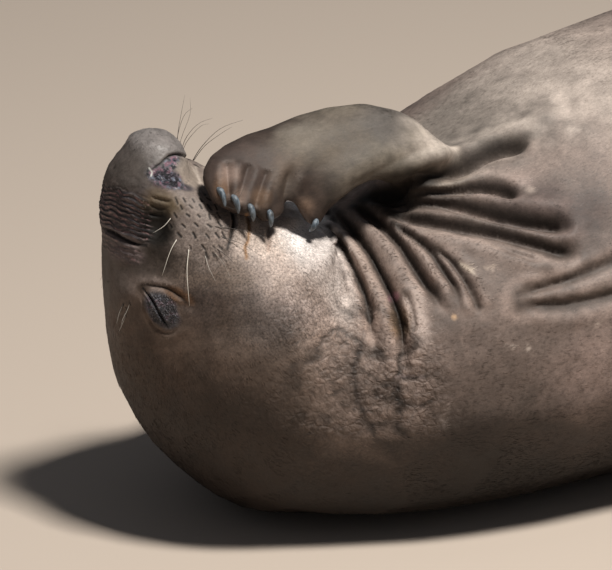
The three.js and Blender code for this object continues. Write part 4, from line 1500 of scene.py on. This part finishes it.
class OBJECT_OT_seal_coat(bpy.types.Operator):
    """Short flat tufts over the whole skin, along the lie of the coat"""
    bl_idname = "object.seal_coat"
    bl_label = "Seal Coat"

    def execute(self, context):
        settings = context.scene.seal_coat
        mesh = bpy.data.objects["skin"].data
        hide = Hide(mesh)
        # The skin's colours, painted shade and light among them, carried onto the tufts
        tint, coat = stored(mesh, "tint"), stored(mesh, "coat")
        lie, where = self.lie(hide)
        corners = np.array([tuple(p.vertices) for p in mesh.polygons])
        a, b, c = (hide.co[corners[:, k]] for k in range(3))
        area = np.linalg.norm(np.cross(b - a, c - a), axis=1) / 2
        bare, short = (coat[corners, k].mean(1) for k in range(2))
        chance = area * (1 + 2.0 * short) * (1 - bare)
        chance[hide.co[corners, 2].mean(1) < TUFT_CLEAR] = 0
        material = coat_material(bpy.data.node_groups["short_fur_grain"])
        rng = np.random.default_rng(21)
        for number in range(settings.pieces):
            chosen = rng.choice(len(corners), settings.count, p=chance / chance.sum())
            share = rng.dirichlet((1, 1, 1), settings.count)
            at_corners = corners[chosen]
            root, up, way, colour, worn = (
                (values[at_corners] * share[:, :, None]).sum(1)
                for values in (hide.co, hide.normal, lie, tint, coat)
            )
            tufts = self.tufts(root, up, way, colour, worn[:, 1], where[at_corners[:, 0]], rng, settings)
            piece = add_piece(f"coat_{number + 1}", tufts, material)
        return {"FINISHED"}

    def lie(self, hide):
        """The lie of the coat at each point, and the point's place on an unwrap of the skin."""
        along, lie, turn = on_line(hide.co, trunk_line(), (0.0, -1.0, 0.0))
        where = self.island(along, turn, (0.01, 0.01), (0.98, 0.66))
        for number, (limb, share) in enumerate(hide.belonging().items()):
            line, across = limb_line(limb)
            along, limb_lie, turn = on_line(hide.co, line, across)
            lie += share[:, None] * (limb_lie - lie)
            corner = (0.01 + 0.5 * (number % 2), 0.69 + 0.155 * (number // 2))
            island = self.island(along, turn, corner, (0.47, 0.145))
            where = np.where((share > 0.5)[:, None], island, where)
        lie -= hide.normal * (lie * hide.normal).sum(1)[:, None]
        return lie / np.maximum(np.linalg.norm(lie, axis=1), 1e-6)[:, None], where

    def island(self, along, turn, corner, size):
        """Places on a rectangle of the map, by length and turn."""
        return np.array(corner) + np.stack([along, turn / (2 * math.pi) + 0.5], axis=1) * size

    def tufts(self, root, up, way, colour, short, where, rng, settings):
        """Flat blades of three triangles each, wide at the root and pointed at the tip."""
        count = len(root)
        up /= np.linalg.norm(up, axis=1)[:, None]
        side = np.cross(up, way)
        side /= np.maximum(np.linalg.norm(side, axis=1), 1e-6)[:, None]
        angle = rng.normal(0, TUFT_TURN, count)[:, None]
        way = np.cross(side, up)
        way, side = way * np.cos(angle) + side * np.sin(angle), side * np.cos(angle) - way * np.sin(angle)
        size = (1 - 0.55 * short) * rng.uniform(0.75, 1.25, count)
        length = way * (settings.length * size)[:, None]
        wide = side * (TUFT_HALF_WIDTH * size * rng.uniform(0.8, 1.2, count))[:, None]
        lift = settings.lift * rng.uniform(0.6, 1.5, count) * (1 - 0.5 * short)
        rise = up * (settings.length * size * lift)[:, None]
        foot, middle = root - up * TUFT_SINK, root + 0.55 * length + 0.8 * rise
        points = np.stack([
            foot - wide, foot + wide, middle - 0.85 * wide, middle + 0.85 * wide, root + length + rise,
        ], axis=1)
        points[:, :, 2] = np.maximum(points[:, :, 2], TUFT_FLOOR)
        base = np.arange(count)[:, None] * 5
        faces = np.concatenate([base + (0, 1, 3), base + (0, 3, 2), base + (2, 3, 4)], axis=1).reshape(-1, 3)
        mesh = bpy.data.meshes.new("tufts")
        mesh.vertices.add(count * 5)
        mesh.vertices.foreach_set("co", points.astype(np.float32).ravel())
        mesh.loops.add(len(faces) * 3)
        mesh.loops.foreach_set("vertex_index", faces.astype(np.int32).ravel())
        mesh.polygons.add(len(faces))
        mesh.polygons.foreach_set("loop_start", np.arange(0, len(faces) * 3, 3, dtype=np.int32))
        mesh.update(calc_edges=True)
        tone = rng.normal(1, 0.08, count)[:, None, None] * np.array(TUFT_TONES)[None, :, None]
        store(mesh, "tint", (colour[:, None, :] * tone).reshape(-1, 3))
        uv = (where[:, None, :] + np.array(TUFT_CORNERS)[None] * TUFT_PATCH).reshape(-1, 2)
        layer = mesh.uv_layers.new(name="OFBake")
        layer.data.foreach_set("uv", uv[faces.ravel()].astype(np.float32).ravel())
        return mesh


class OBJECT_OT_seal_whiskers(bpy.types.Operator):
    """Whiskers on both pads and above the eyes"""
    bl_idname = "object.seal_whiskers"
    bl_label = "Seal Whiskers"

    def execute(self, context):
        hide = Hide(bpy.data.objects["skin"].data)
        points, faces, pale = [], [], []
        rng = np.random.default_rng(4)
        for pixels, thick, tone in NEAR_WHISKERS:
            line = self.stand_off(hide, pixels, 9 * MM)
            self.tube(line, thick * MM, tone, points, faces, pale)
            if pixels[-1][1] > pixels[0][1] + 10:
                self.tube(self.rooted(hide, turned(line)), thick * MM, tone, points, faces, pale)
        pad = turned(hide.at(PAD_MIDDLE)[None])[0]
        depth = float((pad - np.array(EYE_POINT)) @ np.array(BACK))
        for pixels, thick, tone in FAR_WHISKERS:
            line = np.array([self.on_plane(px, py, depth) for px, py in smooth_path(pixels, 4)])
            self.tube(self.rooted(hide, line), thick * MM, tone, points, faces, pale)
        for across, down in BROW_ROOTS[:4]:
            tip = (across - 10 + rng.uniform(-4, 4), down + 20 + rng.uniform(-4, 4))
            line = self.stand_off(hide, ((across, down), (across - 4, down + 10), tip), 6 * MM)
            for path in (line, self.rooted(hide, turned(line))):
                self.tube(path, 0.3 * MM, 0.5, points, faces, pale)
        mesh = bpy.data.meshes.new("whiskers")
        mesh.from_pydata([tuple(p) for p in points], [], faces)
        layer = mesh.attributes.new("pale", "FLOAT", "POINT")
        layer.data.foreach_set("value", np.array(pale, np.float32))
        add_piece("whiskers", mesh, whisker_material())
        return {"FINISHED"}

    def on_plane(self, px, py, depth):
        """The place behind a pixel, at a depth from the camera."""
        way = sight(px, py)
        return np.array(EYE_POINT) + np.array(way) * (depth / (way @ BACK))

    def stand_off(self, hide, pixels, lift):
        """A path that starts on the skin and stays clear of it."""
        path = smooth_path(pixels, 5)
        line = []
        for i, (px, py) in enumerate(path):
            hit = hide.tree.ray_cast(EYE_POINT, sight(px, py))[0]
            if hit is None:
                hit = Vector(line[-1])
            share = i / (len(path) - 1)
            line.append(np.array(hit + BACK * (lift * math.sin(share * 1.6) - 0.001 * (1 - share))))
        depth = np.maximum.accumulate((np.array(line) - np.array(EYE_POINT)) @ np.array(BACK))
        return np.array([self.on_plane(*p, d) for p, d in zip(path, depth)])

    def rooted(self, hide, line):
        """The same path started on the skin."""
        hit, normal = hide.tree.find_nearest(Vector(line[0]))[:2]
        root = np.array(hit - normal * 0.001)
        share = np.linspace(1, 0, len(line))[:, None] ** 2
        return line + share * (root - line[0])

    def tube(self, line, radius, tone, points, faces, pale):
        """Adds a whisker, thick at the root and thin at the tip."""
        sides = WHISKER_SIDES
        for i, point in enumerate(line):
            way = line[min(i + 1, len(line) - 1)] - line[max(i - 1, 0)]
            way = Vector(way).normalized()
            across = way.cross(Vector((0.3, 0.2, 0.93))).normalized()
            over = way.cross(across)
            r = 1.25 * radius * (1 - 0.8 * i / (len(line) - 1))
            for k in range(sides):
                a = 2 * math.pi * k / sides
                points.append(Vector(point) + (across * math.cos(a) + over * math.sin(a)) * r)
                pale.append(tone)
        start = len(points) - sides * len(line)
        for i in range(len(line) - 1):
            for k in range(sides):
                a, b = start + i * sides + k, start + i * sides + (k + 1) % sides
                faces.append((a, b, b + sides, a + sides))
        faces.append(tuple(range(start + sides - 1, start - 1, -1)))
        faces.append(tuple(range(len(points) - sides, len(points))))


class OBJECT_OT_seal_eyes(bpy.types.Operator):
    """The eyeballs behind the closed lids"""
    bl_idname = "object.seal_eyes"
    bl_label = "Seal Eyes"

    def execute(self, context):
        material = eye_material()
        hide = Hide(bpy.data.objects["skin"].data)
        lid = hide.at(EYE_MIDDLE)[None]
        for side, spot in zip(SIDES, (lid, hide.nearest(turned(lid)))):
            centre = Vector(spot[0])
            inward = Vector((HEAD_AXIS - ROW_SHIFT.x, -ROW_SHIFT.y, centre.z)) - centre
            ball = bmesh.new()
            bmesh.ops.create_uvsphere(ball, u_segments=40, v_segments=24, radius=EYEBALL_RADIUS)
            place = centre + inward.normalized() * EYEBALL_DEPTH
            bmesh.ops.translate(ball, verts=ball.verts, vec=place)
            mesh = bpy.data.meshes.new(f"eyeball_{side}")
            ball.to_mesh(mesh)
            ball.free()
            piece = add_piece(f"eyeball_{side}", mesh, material)
            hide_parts(f"eye_{side}")
        return {"FINISHED"}


class OBJECT_OT_seal_claws(bpy.types.Operator):
    """Bent horn claws along the backs of the digits"""
    bl_idname = "object.seal_claws"
    bl_label = "Seal Claws"

    def execute(self, context):
        material = horn_material()
        for side in SIDES:
            names = claw_names(side)
            piece = add_piece(f"claws_{side}", joined_solids(names, CLAW_GROWTH), material)
            rounded = piece.modifiers.new("Rounded", "SUBSURF")
            rounded.levels = rounded.render_levels = 2
            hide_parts(*names)
        return {"FINISHED"}


class OBJECT_OT_seal_stage(bpy.types.Operator):
    """Floor, soft light and camera"""
    bl_idname = "object.seal_stage"
    bl_label = "Seal Stage"

    def execute(self, context):
        settings = context.scene.seal_stage
        scene = context.scene
        sheet = bmesh.new()
        bmesh.ops.create_grid(sheet, x_segments=1, y_segments=1, size=FLOOR_HALF_SIZE)
        mesh = bpy.data.meshes.new("floor")
        sheet.to_mesh(mesh)
        sheet.free()
        floor = bpy.data.objects.new("floor", mesh)
        scene.collection.objects.link(floor)
        material, _, shader = new_material("floor")
        shader.inputs["Base Color"].default_value = (*settings.floor, 1)
        shader.inputs["Roughness"].default_value = 0.9
        mesh.materials.append(material)
        world = bpy.data.worlds.new("studio")
        world.use_nodes = True
        sky = world.node_tree.nodes["Background"].inputs
        sky["Color"].default_value = SKY_COLOUR
        sky["Strength"].default_value = settings.fill
        scene.world = world
        key = self.lamp("key", AIM + SUN * SUN_DISTANCE, settings.sun)
        camera = bpy.data.objects.new("camera", bpy.data.cameras.new("camera"))
        scene.collection.objects.link(camera)
        camera.data.sensor_width = FILM_WIDTH
        camera.data.lens = VIEW_DISTANCE * FILM_WIDTH / (PICTURE[0] * PIXEL)
        camera.location = EYE_POINT
        camera.rotation_mode = "QUATERNION"
        camera.rotation_quaternion = (-BACK).to_track_quat("-Z", "Y")
        scene.camera = camera
        scene.view_settings.view_transform = "Standard"
        return {"FINISHED"}

    def lamp(self, name, place, power):
        lamp = bpy.data.objects.new(name, bpy.data.lights.new(name, "AREA"))
        bpy.context.scene.collection.objects.link(lamp)
        lamp.data.size = SUN_SIZE
        lamp.data.energy = power
        lamp.data.color = SUN_COLOUR
        lamp.location = place
        lamp.rotation_mode = "QUATERNION"
        lamp.rotation_quaternion = (AIM - place).to_track_quat("-Z", "Y")
        return lamp


OPERATORS = (
    OBJECT_OT_seal_skin, OBJECT_OT_seal_coat, OBJECT_OT_seal_whiskers, OBJECT_OT_seal_eyes,
    OBJECT_OT_seal_claws, OBJECT_OT_seal_stage,
)


class VIEW3D_PT_seal(bpy.types.Panel):
    bl_label = "Seal"
    bl_space_type = "VIEW_3D"
    bl_region_type = "UI"
    bl_category = "Seal"

    def draw(self, context):
        for settings in (context.scene.seal_skin, context.scene.seal_coat, context.scene.seal_stage):
            for key in settings.__annotations__:
                self.layout.prop(settings, key)
        for operator in OPERATORS:
            self.layout.operator(operator.bl_idname)


CLASSES = (SealSkinSettings, SealCoatSettings, SealStageSettings, *OPERATORS, VIEW3D_PT_seal)


def register():
    for each in CLASSES:
        bpy.utils.register_class(each)
    bpy.types.Scene.seal_skin = PointerProperty(type=SealSkinSettings)
    bpy.types.Scene.seal_coat = PointerProperty(type=SealCoatSettings)
    bpy.types.Scene.seal_stage = PointerProperty(type=SealStageSettings)


def unregister():
    del bpy.types.Scene.seal_stage
    del bpy.types.Scene.seal_coat
    del bpy.types.Scene.seal_skin
    for each in reversed(CLASSES):
        bpy.utils.unregister_class(each)


def main():
    register()
    bpy.ops.object.seal_skin()
    bpy.ops.object.seal_coat()
    bpy.ops.object.seal_whiskers()
    bpy.ops.object.seal_eyes()
    bpy.ops.object.seal_claws()
    bpy.ops.object.seal_stage()


if __name__ == "__main__":
    main()
